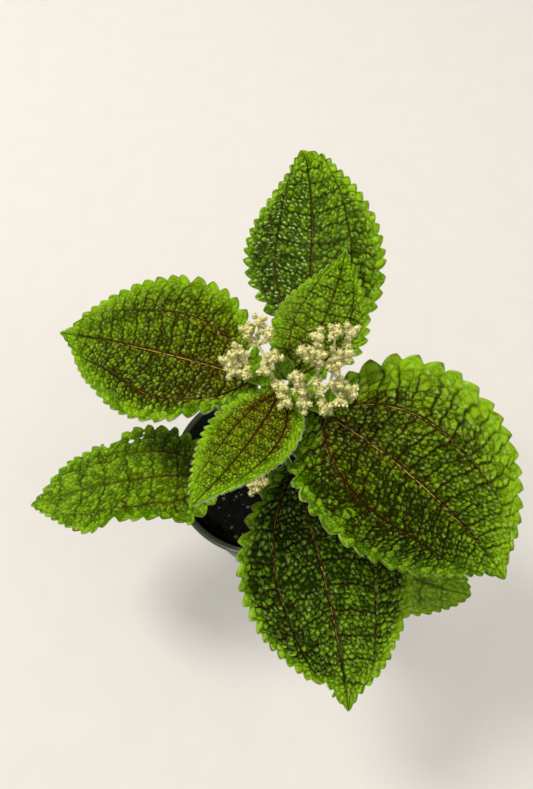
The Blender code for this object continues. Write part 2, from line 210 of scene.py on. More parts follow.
# %% Gather points, faces and values into one mesh
class Skin:
    def __init__(self, *value_names):
        self.points, self.faces, self.count = [], [], 0
        self.values = {name: [] for name in value_names}

    def add(self, points, faces, **values):
        """Adds one closed shape; a value that isn't given is 0 there."""
        points = np.asarray(points, float).reshape(-1, 3)
        self.points.append(points)
        self.faces += [tuple(int(i) + self.count for i in face) for face in faces]
        for name, kept in self.values.items():
            value = np.asarray(values.get(name, 0.0), float)
            kept.append(np.broadcast_to(value, (len(points),)))
        self.count += len(points)

    def make(self, name, material, node):
        """The object, riding on the root body, in place of a solid where one is named."""
        mesh = bpy.data.meshes.new(name)
        mesh.from_pydata((np.vstack(self.points) * MM).tolist(), [], self.faces)
        for key, kept in self.values.items():
            attribute = mesh.attributes.new(key, "FLOAT", "POINT")
            attribute.data.foreach_set("value", np.concatenate(kept).astype(np.float32))
        mesh.materials.append(material)
        mesh.shade_smooth()
        made = add_object(name, mesh)
        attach(made, "root")
        if node:
            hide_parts(node)
        print(name, "has", sum(len(face) - 2 for face in self.faces), "triangles")
        return made


print("points in an empty skin:", Skin().count)

# %% [markdown]
# Stalks, the stem and the branches of the sprays are all tubes: rings of points set square to a
# path. The frame of each ring is carried along from the ring before it, which keeps the tube
# from twisting where the path bends.

# %% Tubes along a path
def smooth_path(points, steps):
    """Catmull-Rom points through the given ones, which may carry a radius as fourth value."""
    p = np.array(points, float)
    p = np.vstack([2 * p[0] - p[1], p, 2 * p[-1] - p[-2]])
    found = []
    for before, start, end, after in zip(p, p[1:], p[2:], p[3:]):
        for t in np.arange(steps) / steps:
            found.append(
                0.5 * (2 * start + (end - before) * t
                       + (2 * before - 5 * start + 4 * end - after) * t * t
                       + (3 * start - before - 3 * end + after) * t ** 3)
            )
    found.append(p[-2])
    return np.array(found)


def ring_faces(rings, sides):
    """Faces that join rings of points and cap both ends."""
    faces = []
    for j in range(rings - 1):
        for i in range(sides):
            a, b = j * sides + i, j * sides + (i + 1) % sides
            faces.append((a, b, b + sides, a + sides))
    last = (rings - 1) * sides
    return faces + [tuple(range(sides - 1, -1, -1)), tuple(range(last, last + sides))]


def tube(path, radii, sides):
    """Points and faces of a closed tube, with both ends capped."""
    path = np.asarray(path, float)
    ahead = np.gradient(path, axis=0)
    ahead /= np.linalg.norm(ahead, axis=1)[:, None]
    side = np.cross(ahead[0], (0.31, 0.52, 0.79))
    angles = np.linspace(0, 2 * np.pi, sides, endpoint=False)[:, None]
    rings = []
    for centre, direction, radius in zip(path, ahead, np.broadcast_to(radii, (len(path),))):
        side = side - direction * side.dot(direction)
        side /= np.linalg.norm(side)
        up = np.cross(direction, side)
        rings.append(centre + radius * (np.cos(angles) * side + np.sin(angles) * up))
    return np.vstack(rings), ring_faces(len(path), sides)


print("points on a path:", len(smooth_path([(0, 0, 0), (0, 0, 1), (0, 1, 2)], 4)))

# %% [markdown]
# ## The leaves
# Eight leaves grow in four crossed pairs. Each blade is one sheet, bent by a few angles: how its
# midrib rises and droops, how it rolls and twists, and how its margins curl. The same numbers
# shape the plain solids, so the dressed leaf lies exactly over its solid. A sheet given by a
# formula can be sampled as finely as the cells of the quilt need.

# %% Sizes of the leaves
Leaf = namedtuple(
    "Leaf",
    "name node_height base length width heading pitch droop bend roll twist cup"
    " shoulder taper lean uneven_base uneven_tip",
)
LEAVES = [
    Leaf("leaf_crown_back", 148, (13.8, 8.6, 154), 56, 40, 65, 33, 16, 27, 1, 2, 8,
         0.64, 0.96, 0.03, 0.11, 0.0),
    Leaf("leaf_crown_front", 148, (8.7, 3.3, 153), 65, 35, -121, 16, 6, -21, 4, 14, 9,
         0.57, 0.87, -0.09, 0.03, 0.19),
    Leaf("leaf_left", 140, (-2.7, 12.2, 146), 97, 74, 160, -3, 12, 3, -5, -16, -8,
         0.66, 0.85, -0.09, -0.12, 0.11),
    Leaf("leaf_right", 140, (23, -2, 146), 99, 95, -40, 2, 33, -13, -5, 2, -28,
         0.41, 0.64, 0.01, 0.13, -0.25),
    Leaf("leaf_back", 114, (17.5, 36.7, 130), 91, 67, 88, 39, 17, 27, -14, 4, 9,
         0.66, 0.78, 0.0, -0.27, 0.14),
    Leaf("leaf_front", 114, (12.7, -21.9, 130), 97, 76, -76, -4, 31, -10, -14, 12, -4,
         0.69, 0.81, 0.06, -0.03, -0.06),
    Leaf("leaf_low_left", 86, (-16.7, -11.9, 98), 93, 67, -172, 10, 29, 11, 20, 4, 2,
         0.56, 0.76, 0.04, -0.05, 0.09),
    Leaf("leaf_low_right", 86, (12.8, -22, 93), 92, 57, -29, 7, 15, 38, 34, 2, 16,
         0.47, 0.60, 0.03, -0.05, -0.06),
]
print("leaf lengths:", {leaf.name: leaf.length for leaf in LEAVES})

# %% [markdown]
# The outline of each half is a power curve: one number rounds its base, another its tip. The
# sheet turns a place on the flat leaf, along and across in millimetres, into a point in space.

# %% Outline and sheet of a leaf
DRIP_TIP = 0.06


def outline(leaf, wanted, side):
    """Share along and half width at shares of the way round the margin, left 1 or right -1."""
    shoulder = leaf.shoulder * (1 - side * leaf.uneven_base)
    taper = leaf.taper * (1 + side * leaf.uneven_tip)
    half_width = leaf.width / 2 * (1 + side * leaf.lean)
    x = (1 - np.cos(np.linspace(0, np.pi, 2000))) / 2
    widest = shoulder / (shoulder + taper)
    half = half_width * (x / widest) ** shoulder * ((1 - x) / (1 - widest)) ** taper
    along = (1 - DRIP_TIP) * x + DRIP_TIP * x ** 10
    steps = np.hypot(np.diff(along), np.diff(half) / leaf.length)
    travelled = np.concatenate([[0.0], np.cumsum(steps)])
    travelled /= travelled[-1]
    return np.interp(wanted, travelled, along), np.interp(wanted, travelled, half)


def on_leaf(leaf, along, across, lift):
    """Points of the leaf's curved sheet: along the midrib from 0 to 1, across and lift in mm."""
    u = np.linspace(0.0, 1.0, 201)
    pitch = np.radians(leaf.pitch - leaf.droop * u)
    heading = np.radians(leaf.heading + leaf.bend * (u - 0.5))
    flat = np.cos(pitch)
    ahead = np.stack([flat * np.cos(heading), flat * np.sin(heading), np.sin(pitch)], 1)
    steps = (ahead[1:] + ahead[:-1]) / 2 * leaf.length / (len(u) - 1)
    path = np.vstack([np.zeros(3), np.cumsum(steps, axis=0)]) + leaf.base

    def read(table):
        return np.stack([np.interp(along, u, table[:, i]) for i in range(3)], -1)

    forward = read(ahead)
    level = read(np.stack([-np.sin(heading), np.cos(heading), 0 * u], 1))
    beyond = np.minimum(along, 0) + np.maximum(along - 1, 0)
    centre = read(path) + forward * beyond[..., None] * leaf.length
    roll = np.radians(leaf.roll + leaf.twist * (along - 0.5))[..., None]
    side = level * np.cos(roll) + np.cross(forward, level) * np.sin(roll)
    up = np.cross(forward, side)
    turn = math.radians(leaf.cup) / (leaf.width / 2) * np.abs(across)
    out = np.sign(across) * np.abs(across) * np.sinc(turn / np.pi)
    down = np.abs(across) * turn / 2 * np.sinc(turn / 2 / np.pi) ** 2
    normal = up * np.cos(turn)[..., None] + side * (np.sign(across) * np.sin(turn))[..., None]
    return centre + side * out[..., None] - up * down[..., None] + normal * lift[..., None]


for leaf in LEAVES:
    tip = on_leaf(leaf, np.array(1.0), np.array(0.0), np.array(0.0))
    print("tip of", leaf.name, "in mm:", tip.round(1).tolist())

# %% [markdown]
# ## What makes each leaf its own
# The old leaves are dark with lime margins, the young ones at the top are yellow-green all over,
# and no two have the same number of teeth. One row of numbers for each leaf says how fine its
# mesh and its quilt are, how its margin swells and is cut, where its side veins run, how lime,
# maroon, dark and golden it is, how much painted shade darkens one of its halves, how strong its
# painted glints are and how many of its teeth are scorched.

# %% Looks of each leaf
Marks = namedtuple("Marks", "fleck_left fleck_right turn spread burnt_left burnt_right")
Look = namedtuple(
    "Look",
    "rows columns cell long group per_tooth bulge teeth bite vein_left vein_right heart tip"
    " swells lime lime_rim band lime_tip lime_side flush dark golden marks",
)
LOOKS = {
    "leaf_crown_back": Look(
        164, 116, 1.6, 1.15, 3, (3, 3), 0.60, (17, 16), (0.6, 1.2), (0.52, 0.60), (0.54, 0.50),
        4.0, (0.6, 0.0), [(1, 0.0, 0.26, 3.5), (-1, 0.0, 0.15, 1.0)],
        0.58, 0.05, 5, 0.10, 0.05, 0.60, 0.60, 0.5, Marks(0.35, 0.45, 0.0, 1.5, 0.0, 0.1),
    ),
    "leaf_crown_front": Look(
        200, 116, 1.25, 1.2, 4, (3, 3), 0.50, (19, 19), (0.3, 1.2), (0.50, 0.70), (0.40, 0.50),
        1.0, (0.0, 0.0), [(-1, 0.0, 0.2, 1.5)],
        0.52, 0.10, 4, 0.15, -0.05, 1.35, 0.65, 0.1, Marks(0.35, 0.45, 0.0, 1.5, 0.0, 0.0),
    ),
    "leaf_left": Look(
        210, 152, 1.95, 1.2, 3, (3, 3), 0.85, (21, 21), (0.7, 1.0), (0.82, 0.35), (0.54, 0.48),
        4.0, (0.6, 0.0),
        [(1, 0.0, 0.2, 4.0), (-1, 0.0, 0.1, 2.0), (-1, 0.945, 0.035, -2.0), (1, 0.80, 0.08, 1.6)],
        0.34, 0.34, 10, 0.20, -0.15, 0.95, 0.92, 0.9, Marks(0.70, 0.50, 0.0, 1.2, 0.4, 1.0),
    ),
    "leaf_right": Look(
        214, 182, 2.1, 1.1, 3, (2, 3), 0.95, (20, 21), (0.8, 0.9), (0.45, 0.54), (0.52, 0.52),
        2.0, (3.4, 0.0), [(-1, 0.08, 0.2, 3.6)],
        0.24, 0.50, 15, 0.10, 0.40, 0.65, 1.00, 1.6, Marks(0.70, 0.50, 0.3, 1.0, 1.0, 0.4),
    ),
    "leaf_back": Look(
        196, 142, 1.7, 1.6, 4, (3, 2), 0.95, (19, 23), (1.0, 1.0), (0.54, 0.48), (0.58, 0.50),
        1.0, (0.0, 1.4), [(1, 0.95, 0.04, 1.4), (-1, 0.93, 0.05, 1.4)],
        0.14, 0.50, 6, 0.42, -0.14, 0.10, 0.80, 0.5, Marks(1.80, 0.80, 0.4, 0.4, 0.7, 0.1),
    ),
    "leaf_front": Look(
        200, 150, 1.95, 1.2, 5, (2, 2), 0.95, (25, 22), (1.0, 1.0), (0.58, 0.48), (0.55, 0.58),
        3.0, (2.0, 0.0), [(-1, 0.0, 0.12, 2.2), (-1, 0.89, 0.035, -2.8), (1, 0.85, 0.06, 1.4)],
        0.06, 0.60, 5, 1.00, 0.12, 0.05, 1.15, 1.5, Marks(0.45, 0.75, 0.0, 1.5, 0.1, 0.3),
    ),
    "leaf_low_left": Look(
        176, 126, 2.2, 1.3, 5, (3, 3), 0.38, (20, 20), (0.7, 1.35), (0.50, 0.56), (0.50, 0.50),
        1.0, (0.0, 0.0),
        [
            (1, 0.47, 0.155, -11.0), (-1, 0.48, 0.08, 3.6), (-1, 0.35, 0.07, 2.2),
            (-1, 0.6, 0.03, -3.0), (-1, 0.76, 0.12, 2.4), (-1, 0.84, 0.08, 2.4),
        ],
        0.34, 0.14, 6, 0.08, -0.03, 0.45, 0.34, 0.2, Marks(0.35, 0.35, 0.0, 1.5, 0.6, 0.4),
    ),
    "leaf_low_right": Look(
        136, 76, 2.2, 1.2, 4, (3, 3), 0.90, (22, 22), (1.0, 1.0), (0.50, 0.50), (0.50, 0.50),
        1.0, (0.0, 0.0), [],
        0.82, 0.25, 7, 0.10, 0.0, 0.10, 0.34, 0.3, Marks(0.80, 0.80, 0.3, 0.4, 0.0, 0.0),
    ),
}
HOLES = {"leaf_low_left": [(45.0, -25.7, 1.5), (39.8, -27.0, 0.9), (38.8, -30.2, 0.8)]}
print("quads across the largest leaf:", LOOKS["leaf_right"].columns)

# %% [markdown]
# ## Veins and cells
# Three main veins leave the base of each blade: the midrib and one side vein in each half, which
# arches along the margin. Rung veins cross between them, and finer veins cut the rest into cells
# about two millimetres across that bulge like a quilt. Their bulges are nearly as high as they are
# wide and catch the light one by one, so they are modelled, not painted. Each half is a lattice of
# jittered cell centres; a point belongs to the nearest centre, and its distance to the border
# between two centres gives the height of the bulge. Cells come in groups, and the veins between
# two groups are the rungs, which are deeper and browner than the rest.

# %% Small curves and noise
def held(value):
    """A value kept between 0 and 1."""
    return np.clip(value, 0, 1)


def bell(way, width):
    """1 in the middle, falling softly to 0 beyond a width."""
    return np.exp(-(way / width) ** 2)


def hashed(i, j, seed):
    """A repeatable number from 0 to 1 for each whole pair."""
    mixed = np.sin(i * 127.1 + j * 311.7 + seed * 74.7) * 43758.5453
    return mixed - np.floor(mixed)


def drifting(x, y, seed):
    """Smooth noise from -1 to 1 that changes over one unit."""
    i, j = np.floor(x), np.floor(y)
    u, v = x - i, y - j
    u, v = u * u * (3 - 2 * u), v * v * (3 - 2 * v)
    low, high = (hashed(i, n, seed) * (1 - u) + hashed(i + 1, n, seed) * u for n in (j, j + 1))
    return 2 * (low * (1 - v) + high * v) - 1


print("noise at three places:", np.round(drifting(np.array([0.2, 1.5, 2.9]), 0.4, 1), 2))

# %% [markdown]
# Only the nine centres round a point are looked at, because one farther off is hardly ever the
# nearest. The border between two cells is the line half way between their centres, so the way to
# it needs no search.

# %% The lattice of cells
ROW_JITTER, LANE_JITTER = 0.62, 0.85
GROUP_LANES = 4
LANE_RUNG = 0.45
GLINT_WIDTH, GLINT_LENGTH, GLINT_SHIFT = 0.13, 0.27, 0.2


def cells(row, lane, row_size, lane_size, group_rows, seed, marks):
    """For each point: the tone of its cell, the way to the cell's border in mm, how much of a
    rung that border is, how strong it is, which is the same from both of its sides, and how
    close the point is to the painted glint, a pale spot on top of its cell."""
    base = np.floor(row).astype(int)
    found = []
    for i in (base - 1, base, base + 1):
        stagger = 0.5 * (i % 2)
        first = np.floor(lane - stagger).astype(int)
        for j in (first - 1, first, first + 1):
            drawn = [hashed(i, j, seed + k) for k in range(5)]
            at_row = i + 0.5 + ROW_JITTER * (drawn[0] - 0.5)
            at_lane = j + 0.5 + stagger + LANE_JITTER * (drawn[1] - 0.5)
            group = i // group_rows
            found.append((
                (at_row - row) * row_size, (at_lane - lane) * lane_size,
                group, (j + 2 * (group % 2)) // GROUP_LANES, *drawn[2:],
            ))
    stacks = [np.stack(kind) for kind in zip(*found)]
    nearest = (stacks[0] ** 2 + stacks[1] ** 2).argmin(0)[None]
    x0, y0, group0, lanes0, tone0, spin, luck = (
        np.take_along_axis(kind, nearest, 0)[0] for kind in stacks
    )
    # A painted glint: a pale spot on one side of a cell's top, painted where the cell would catch
    # a highlight.
    turn = marks.turn + marks.spread * 2 * (spin - 0.5)
    shifted = x0 + GLINT_SHIFT * row_size
    beside = shifted * np.cos(turn) - y0 * np.sin(turn)
    ahead = shifted * np.sin(turn) + y0 * np.cos(turn)
    beside, ahead = beside / (GLINT_WIDTH * row_size), ahead / (GLINT_LENGTH * lane_size)
    fleck = np.exp(-beside ** 2 - ahead ** 2) * held(2.2 * luck - 0.7)
    border = np.full(row.shape, 9.0)
    rung, strength = np.zeros(row.shape), np.ones(row.shape)
    for x, y, group, lanes, tone in zip(*stacks[:5]):
        gap = np.hypot(x - x0, y - y0)
        apart = gap > 1e-6
        way = ((x + x0) * (x - x0) + (y + y0) * (y - y0)) / 2 / np.where(apart, gap, 1.0)
        closer = apart & (way < border)
        border = np.where(closer, way, border)
        crossing = np.where(group != group0, 1.0, LANE_RUNG * (lanes != lanes0))
        rung = np.where(closer, crossing, rung)
        drawn = (tone + tone0) * 7.3
        strength = np.where(closer, 0.05 + 0.75 * (drawn - np.floor(drawn)), strength)
    return tone0, np.maximum(border, 0.0), rung, np.maximum(strength, rung), fleck


print("lanes of cells between two rungs:", GROUP_LANES)

# %% [markdown]
# ## The blade and its teeth
# The flat leaf is a grid: rows run from the midrib out to the margin and columns run from base to
# tip. Each tooth has a long rounded back and a short straight front, and its corner leans towards
# the tip. Teeth are made by moving the points near the margin inwards, square to the margin, most
# of all at the notches. They are broad in the middle of the leaf and crowd towards its tip, where
# the last corner is the tip itself.

# %% The teeth
TOOTH_CORNER = 0.70
TOOTH_EVEN_SHARE = 0.62


def tooth_height(phase):
    """Height of the margin over one tooth, from 0 at the notches to 1 at the corner."""
    back = np.sin(np.pi / 2 * held(phase / TOOTH_CORNER)) ** 0.8
    front = 1 - held((phase - TOOTH_CORNER) / (1 - TOOTH_CORNER)) ** 1.2
    return back * front


def tooth_place(look, t, side):
    """Teeth counted from the base, at a share of the way round the margin."""
    count = np.where(side > 0, *look.teeth)
    crowded = TOOTH_EVEN_SHARE * t + (1 - TOOTH_EVEN_SHARE) * t * t
    uneven = 0.22 * drifting(count * crowded * 0.8, side, sum(look.teeth)) * np.sin(np.pi * t)
    return count * crowded + TOOTH_CORNER + uneven


print("height of a tooth's back at its middle:", round(float(tooth_height(0.33)), 2))

# %% [markdown]
# The grid's points are first spread over the plain outline, then swollen where this leaf is
# fuller or narrower than the power curve, and last pulled in between the teeth. The base of each
# half bulges back past the stalk, as in a heart, and the tip is drawn out.

# %% The flat blade
TIP_HALF_WIDTH = 0.5
TIP_REACH = 0.03
HEART_REACH = 0.10
TOOTH_DEPTH_PER_PITCH = 0.47
TOOTH_DEPTH_SHARE = 0.36
TOOTH_LEAN = 0.5
TOOTH_REACH = 8.0
TOOTH_CALM_BASE = 0.12
Flat = namedtuple("Flat", "t s side seed along across to_rim place")


def flat_blade(leaf, look, t, s):
    """The blade before it is bent, in mm: t runs round the margin, s from rim to rim."""
    side = np.where(s >= 0, 1.0, -1.0)
    left, right = outline(leaf, t[:, 0], 1), outline(leaf, t[:, 0], -1)
    edge_along, half = (np.where(s >= 0, a[:, None], b[:, None]) for a, b in zip(left, right))
    swell = np.zeros(t.shape)
    for swell_side, centre, reach, amount in look.swells:
        change = amount * np.exp(-((t - centre) / reach) ** 4) * (1 - np.exp(-t / 0.012))
        swell = swell + np.where(side == swell_side, change, 0.0)
    forward = np.gradient(edge_along, axis=0) * leaf.length
    outward = np.gradient(half + swell, axis=0)
    step = np.maximum(np.hypot(forward, outward), 1e-9)
    forward, outward = forward / step, outward / step
    share = np.abs(s)
    plain_half = np.maximum(half, TIP_HALF_WIDTH)
    half_width = plain_half + swell
    to_rim = (1 - share) * np.maximum(plain_half + swell * (1 + share), TIP_HALF_WIDTH)

    place = tooth_place(look, t, side)
    pitch = step / np.maximum(np.gradient(place, axis=0), 1e-6)
    size = 0.8 + 0.35 * hashed(np.floor(place), side, leaf.length)
    height = tooth_height(place - np.floor(place))
    deep = np.minimum(TOOTH_DEPTH_PER_PITCH * pitch, TOOTH_DEPTH_SHARE * half_width) * size
    deep = deep * held(0.25 + 0.75 * t / TOOTH_CALM_BASE) * np.where(s >= 0, *look.bite)
    near = held(1 - to_rim / np.minimum(TOOTH_REACH, 0.6 * half_width)) ** 1.6
    inset = near * deep * (1 - height)
    slide = near * TOOTH_LEAN * height * held(half / 7.0)

    along = t + (edge_along - t) * share ** 1.5
    along = along * leaf.length + slide * forward + inset * outward
    across = s * plain_half + side * (swell * s * s + slide * outward - inset * forward)
    drawn_out = bell(1 - t, TIP_REACH)
    along += look.tip[0] * drawn_out
    across += look.tip[1] * drawn_out
    along -= look.heart * bell(t, HEART_REACH) * share ** 0.7 * (1 - np.exp(-t / 0.004))
    along[0] = 0.0
    return Flat(t, s, side, 10 + 7 * leaf.length + side, along, across, to_rim, place)


print("kept for each point:", Flat._fields)

# %% [markdown]
# ## The quilt
# Inside the side veins the cells lie in rows square to the midrib. Outside them the rows follow
# the teeth, two or three to a tooth, and the last cells before the margin are long and run
# outwards. The lattice is bent by smooth noise first, so that no row is straight.

# %% Lanes and side veins
VEIN_START = 0.055
LAST_CELL_GROWTH = 0.9


def patches(flat, size, seed):
    """Smooth noise over the flat leaf that changes over a size in mm."""
    return drifting(flat.along / size, flat.across / size, flat.seed + seed)


def lanes_from_rim(to_rim, cell, last_reach):
    """Cells counted inwards from the margin, and the size of a cell there in mm."""
    way = np.linspace(0.0, 80.0, 1601)
    size = cell * (1 + LAST_CELL_GROWTH * bell(way, last_reach))
    counted = np.concatenate([[0.0], np.cumsum((way[1] - way[0]) / size[:-1])])
    return np.interp(to_rim, way, counted), np.interp(to_rim, way, size)


def beyond_vein(look, flat, reach):
    """Way from the side vein in mm, positive outside it."""
    t, s, side, *_ = flat
    start, end = (np.where(side > 0, a, b) for a, b in zip(look.vein_left, look.vein_right))
    share = (1 - np.exp(-t / VEIN_START)) * (start + (end - start) * t)
    share += (1 - share) * held((t - 0.55) / 0.45) ** 2
    middle = t.shape[1] // 2
    vein_reach = np.empty_like(reach)
    for j in range(len(t)):
        left = np.interp(share[j], s[j, middle:], reach[j, middle:])
        right = np.interp(share[j], -s[j, middle::-1], reach[j, middle::-1])
        vein_reach[j] = np.where(side[j] > 0, left, right)
    return reach - vein_reach


sizes = lanes_from_rim(np.array([0.0, 10.0]), 2.0, 9.0)[1]
print("size of the cells at the margin and 10 mm from it:", sizes.round(2).tolist())

# %% [markdown]
# Both lattices are worked out over the whole blade, and the side vein decides which of them
# counts at a point. The three main veins then cut through the cells as one more border.

# %% Cells of the quilt
LAST_CELL_REACH = 0.6
WARP = 0.28
VEIN_END = 0.82
VEIN_LENGTH = 95.0
MIDRIB_HALF, ARCH_HALF = 0.22, 0.15
Quilt = namedtuple("Quilt", "reach beyond tone border rung strength fleck")


def quilt_of(leaf, look, flat):
    """Way to the midrib and beyond the side vein in mm, and the cell at each point."""
    t, cell = flat.t, look.cell
    row_step, lane_step = (
        np.hypot(np.gradient(flat.along, axis=k), np.gradient(flat.across, axis=k)) for k in (0, 1)
    )
    middle = t.shape[1] // 2
    travelled = np.cumsum(lane_step, axis=1)
    reach = np.abs(travelled - travelled[:, middle:middle + 1])
    beyond = beyond_vein(look, flat, reach)

    lane_width = cell * look.long
    bend = [WARP * patches(flat, 2.2 * cell, k) for k in (0, 5)]
    arch = 0.35 * reach / cell * (1 - np.exp(-reach / 12))
    arch = arch * held(4 * (1 - t)) * held(6 * t)
    rows = t * round(leaf.length / cell) - arch
    row_size = row_step / np.maximum(np.abs(np.gradient(rows, axis=0)), 1e-6)
    inner = cells(
        rows + bend[0], reach / lane_width + bend[1],
        np.minimum(row_size, 2 * cell), lane_width, look.group, flat.seed, look.marks,
    )
    per_tooth = np.where(flat.side > 0, *look.per_tooth)
    rows = flat.place * per_tooth
    row_size = row_step / np.maximum(np.gradient(rows, axis=0), 1e-6)
    lane, lane_size = lanes_from_rim(flat.to_rim, lane_width, LAST_CELL_REACH * look.band)
    calm = np.clip(flat.to_rim / 7.0, 0.25, 1.0)
    outer = cells(
        rows + calm * bend[0], lane + calm * bend[1],
        np.minimum(row_size, 2.5 * cell), lane_size, per_tooth, flat.seed + 3, look.marks,
    )
    tone, border, rung, strength, fleck = (
        np.where(beyond > 0, b, a) for a, b in zip(inner, outer)
    )
    slim = leaf.length / VEIN_LENGTH
    to_arch = np.abs(beyond) - ARCH_HALF * slim * held((VEIN_END - t) / 0.25)
    to_midrib = reach - MIDRIB_HALF * slim * held(4 * (1 - t))
    to_vein = np.maximum(np.minimum(to_arch, to_midrib), 0)
    strength = np.where(to_vein < border, 1.0, strength)
    return Quilt(reach, beyond, tone, np.minimum(border, to_vein), rung, strength, fleck)


print("kept for each point of the quilt:", Quilt._fields)

# %% [markdown]
# The relief rises from each border to the top of the cell. Between two groups of cells it starts
# lower, which is the rung vein, and at the margin it is flattened to a plain rim. Which lines are
# dark, which cells carry a painted glint and which teeth are scorched follow from the same
# borders.

# %% Relief and lines of the quilt
VEIN_DEPTH = 0.45
RUNG_DEPTH = 0.12
RIM_WIDTH = 0.8
BURNT_WIDTH = 0.13
BURNT_REACH = 1.0


def relief_of(look, flat, quilt):
    """Height of the quilt in mm, and how high each point is on its cell, from 0 to 1."""
    size = look.cell * (0.44 + 0.1 * (quilt.tone - 0.5))
    bulge = (1 - (1 - held(quilt.border / size)) ** 2) ** 0.8
    high = look.bulge * (0.6 + 0.75 * quilt.tone)
    foot = -VEIN_DEPTH + (1 - quilt.strength) * 0.5 * (look.bulge + VEIN_DEPTH)
    relief = foot + (high - foot) * bulge
    relief -= RUNG_DEPTH * quilt.rung * bell(quilt.border, 0.5)
    relief += 0.16 * patches(flat, 1.1, 9) * bulge
    rim = held(flat.to_rim / RIM_WIDTH)
    return relief * rim ** 0.8 + 0.15 * (1 - rim), bulge


def line_values(leaf, look, flat, quilt, bulge):
    """Values that draw the grooves, the rungs, the painted glints and the scorched teeth."""
    side, to_rim, marks = flat.side, flat.to_rim, look.marks
    thin = (VEIN_LENGTH / leaf.length) ** 2
    rim = held(to_rim / RIM_WIDTH)
    patchy = patches(flat, 2.2 * look.cell / 1.3, 7)
    inside = look.dark * held((to_rim - 2.0) / look.band)
    well_in = held((to_rim - 2.5) / 3.0)
    wide = look.cell * (0.10 + 0.07 * inside + 0.04 * patchy) + 0.22 * quilt.rung * well_in
    groove = bell(quilt.border, wide) * rim * (0.15 + 0.85 * quilt.strength)
    rung = quilt.rung * held(0.9 + 0.4 * patchy) * well_in
    # Painted glints, with a strength given for each half of the blade.
    fleck = quilt.fleck * np.where(side > 0, marks.fleck_left, marks.fleck_right)
    fleck = fleck * held(quilt.border / 0.3) * held(0.8 + 0.5 * patchy)
    tooth = np.floor(flat.place)
    burnt = np.where(side > 0, marks.burnt_left, marks.burnt_right)
    burnt = held(2.2 * hashed(tooth, side, 5) - 2.2 + 2.2 * burnt)
    burnt = burnt * bell(flat.place - tooth - TOOTH_CORNER, BURNT_WIDTH)
    return dict(
        groove=groove, rung=groove * rung, tone=quilt.tone, rim=1 - rim, fleck=fleck,
        burnt=burnt * bell(to_rim, BURNT_REACH), mid=quilt.reach * thin,
        arch=quilt.beyond * thin, height=bulge * (0.7 + 0.3 * quilt.tone),
    )


print("depth of the main veins in mm:", VEIN_DEPTH)

# %% [markdown]
# ## Colour fields
# The green isn't even: blades are lime at the margin and the tip, dark in the middle, and flushed
# with maroon round the veins near the base. The lime at the margin is partly its own colour and
# partly a painted glow of light shining through the thin edge, and some blades get painted shade
# on the half turned from the light. These broad changes are worked out with the shape and stored
# on the mesh. The sharp lines, such as the golden midrib, are drawn by the shader from a stored
# distance, so that they stay crisp whatever the size of the quads.

# %% Stored colour values
SHADE_OF_SIDE = 5.0


def colour_values(look, flat, values):
    """Adds how lime, how maroon, how dark and how golden each point is; the dark value carries
    painted shade on the half turned from the light, and the lime at the margin a painted glow.
    """
    t, s, to_rim = flat.t, flat.s, flat.to_rim
    base = bell(t, 0.32)
    near_rim = bell(to_rim, look.band) * (1 - 0.8 * look.flush * base)
    # Painted glow: the margin's lime is partly its own colour and partly light shining through the
    # thin edge; one half is also less lime, beside the painted shade below.
    lime = look.lime + look.lime_rim * near_rim + look.lime_tip * t ** 3 + look.lime_side * s
    near_vein = np.maximum(
        bell(values["mid"], 3.0), 0.8 * bell(values["arch"], 2.4)
    )
    inside = held((to_rim - 2.0) / look.band)
    flush = (0.35 + 0.65 * base) * near_vein * (1 - t) ** 0.6 + 0.45 * base + 0.30 * (1 - t ** 3)
    # Painted shade: the half of the blade turned from the light is darkened.
    shade = SHADE_OF_SIDE * held(-look.lime_side * s)
    values["lime"] = held(lime)
    values["flush"] = held(look.flush * flush * inside)
    values["dark"] = (look.dark * (1 + 0.5 * base) + shade) * inside * (1 - 0.75 * t ** 4)
    drawn = 0.35 + 0.65 * look.golden
    for name, amount, end, fading in (
        ("brown", drawn, 0.98, 0.35), ("brown_arch", drawn, 0.78, 0.35),
        ("golden", look.golden, 0.85, 0.3), ("golden_arch", look.golden, 0.62, 0.35),
    ):
        values[name] = amount * held((end - t) / fading)
    return values


print("shade of a leaf's darker side:", SHADE_OF_SIDE)

# %% [markdown]
# ## The leaf's finish
# A leaf is satin: a waxy skin over a rough quilt, so the light breaks into one small glint for
# each cell. Its colour starts from a mix of two greens, painted lighter on top of each cell as
# painted light, then takes the maroon flush, a painted shade that is deepest low in the
# cells, the dark grooves, the brown rungs and the painted glints.

# %% Greens, flush and grooves
DEEP_GREEN = (0.038, 0.110, 0.0003)
LIME = (0.235, 0.430, 0.007)
MAROON = (0.130, 0.055, 0.0010)
# Tints multiplied in for the dark middle of a blade and for painted shade, which is deepest low in
# the cells and on a blade's shaded half.
SHADE_AND_DARK_GREEN = (0.22, 0.25, 0.08)
SHADE_AND_DARK_BROWN = (0.34, 0.16, 0.08)
GROOVE_LIME = (0.060, 0.135, 0.0010)
GROOVE_DARK = (0.0070, 0.0080, 0.0003)
RUNG_BROWN = (0.022, 0.0085, 0.0008)
# Colour of the painted glints.
PAINTED_GLINT = (0.45, 0.67, 0.17)


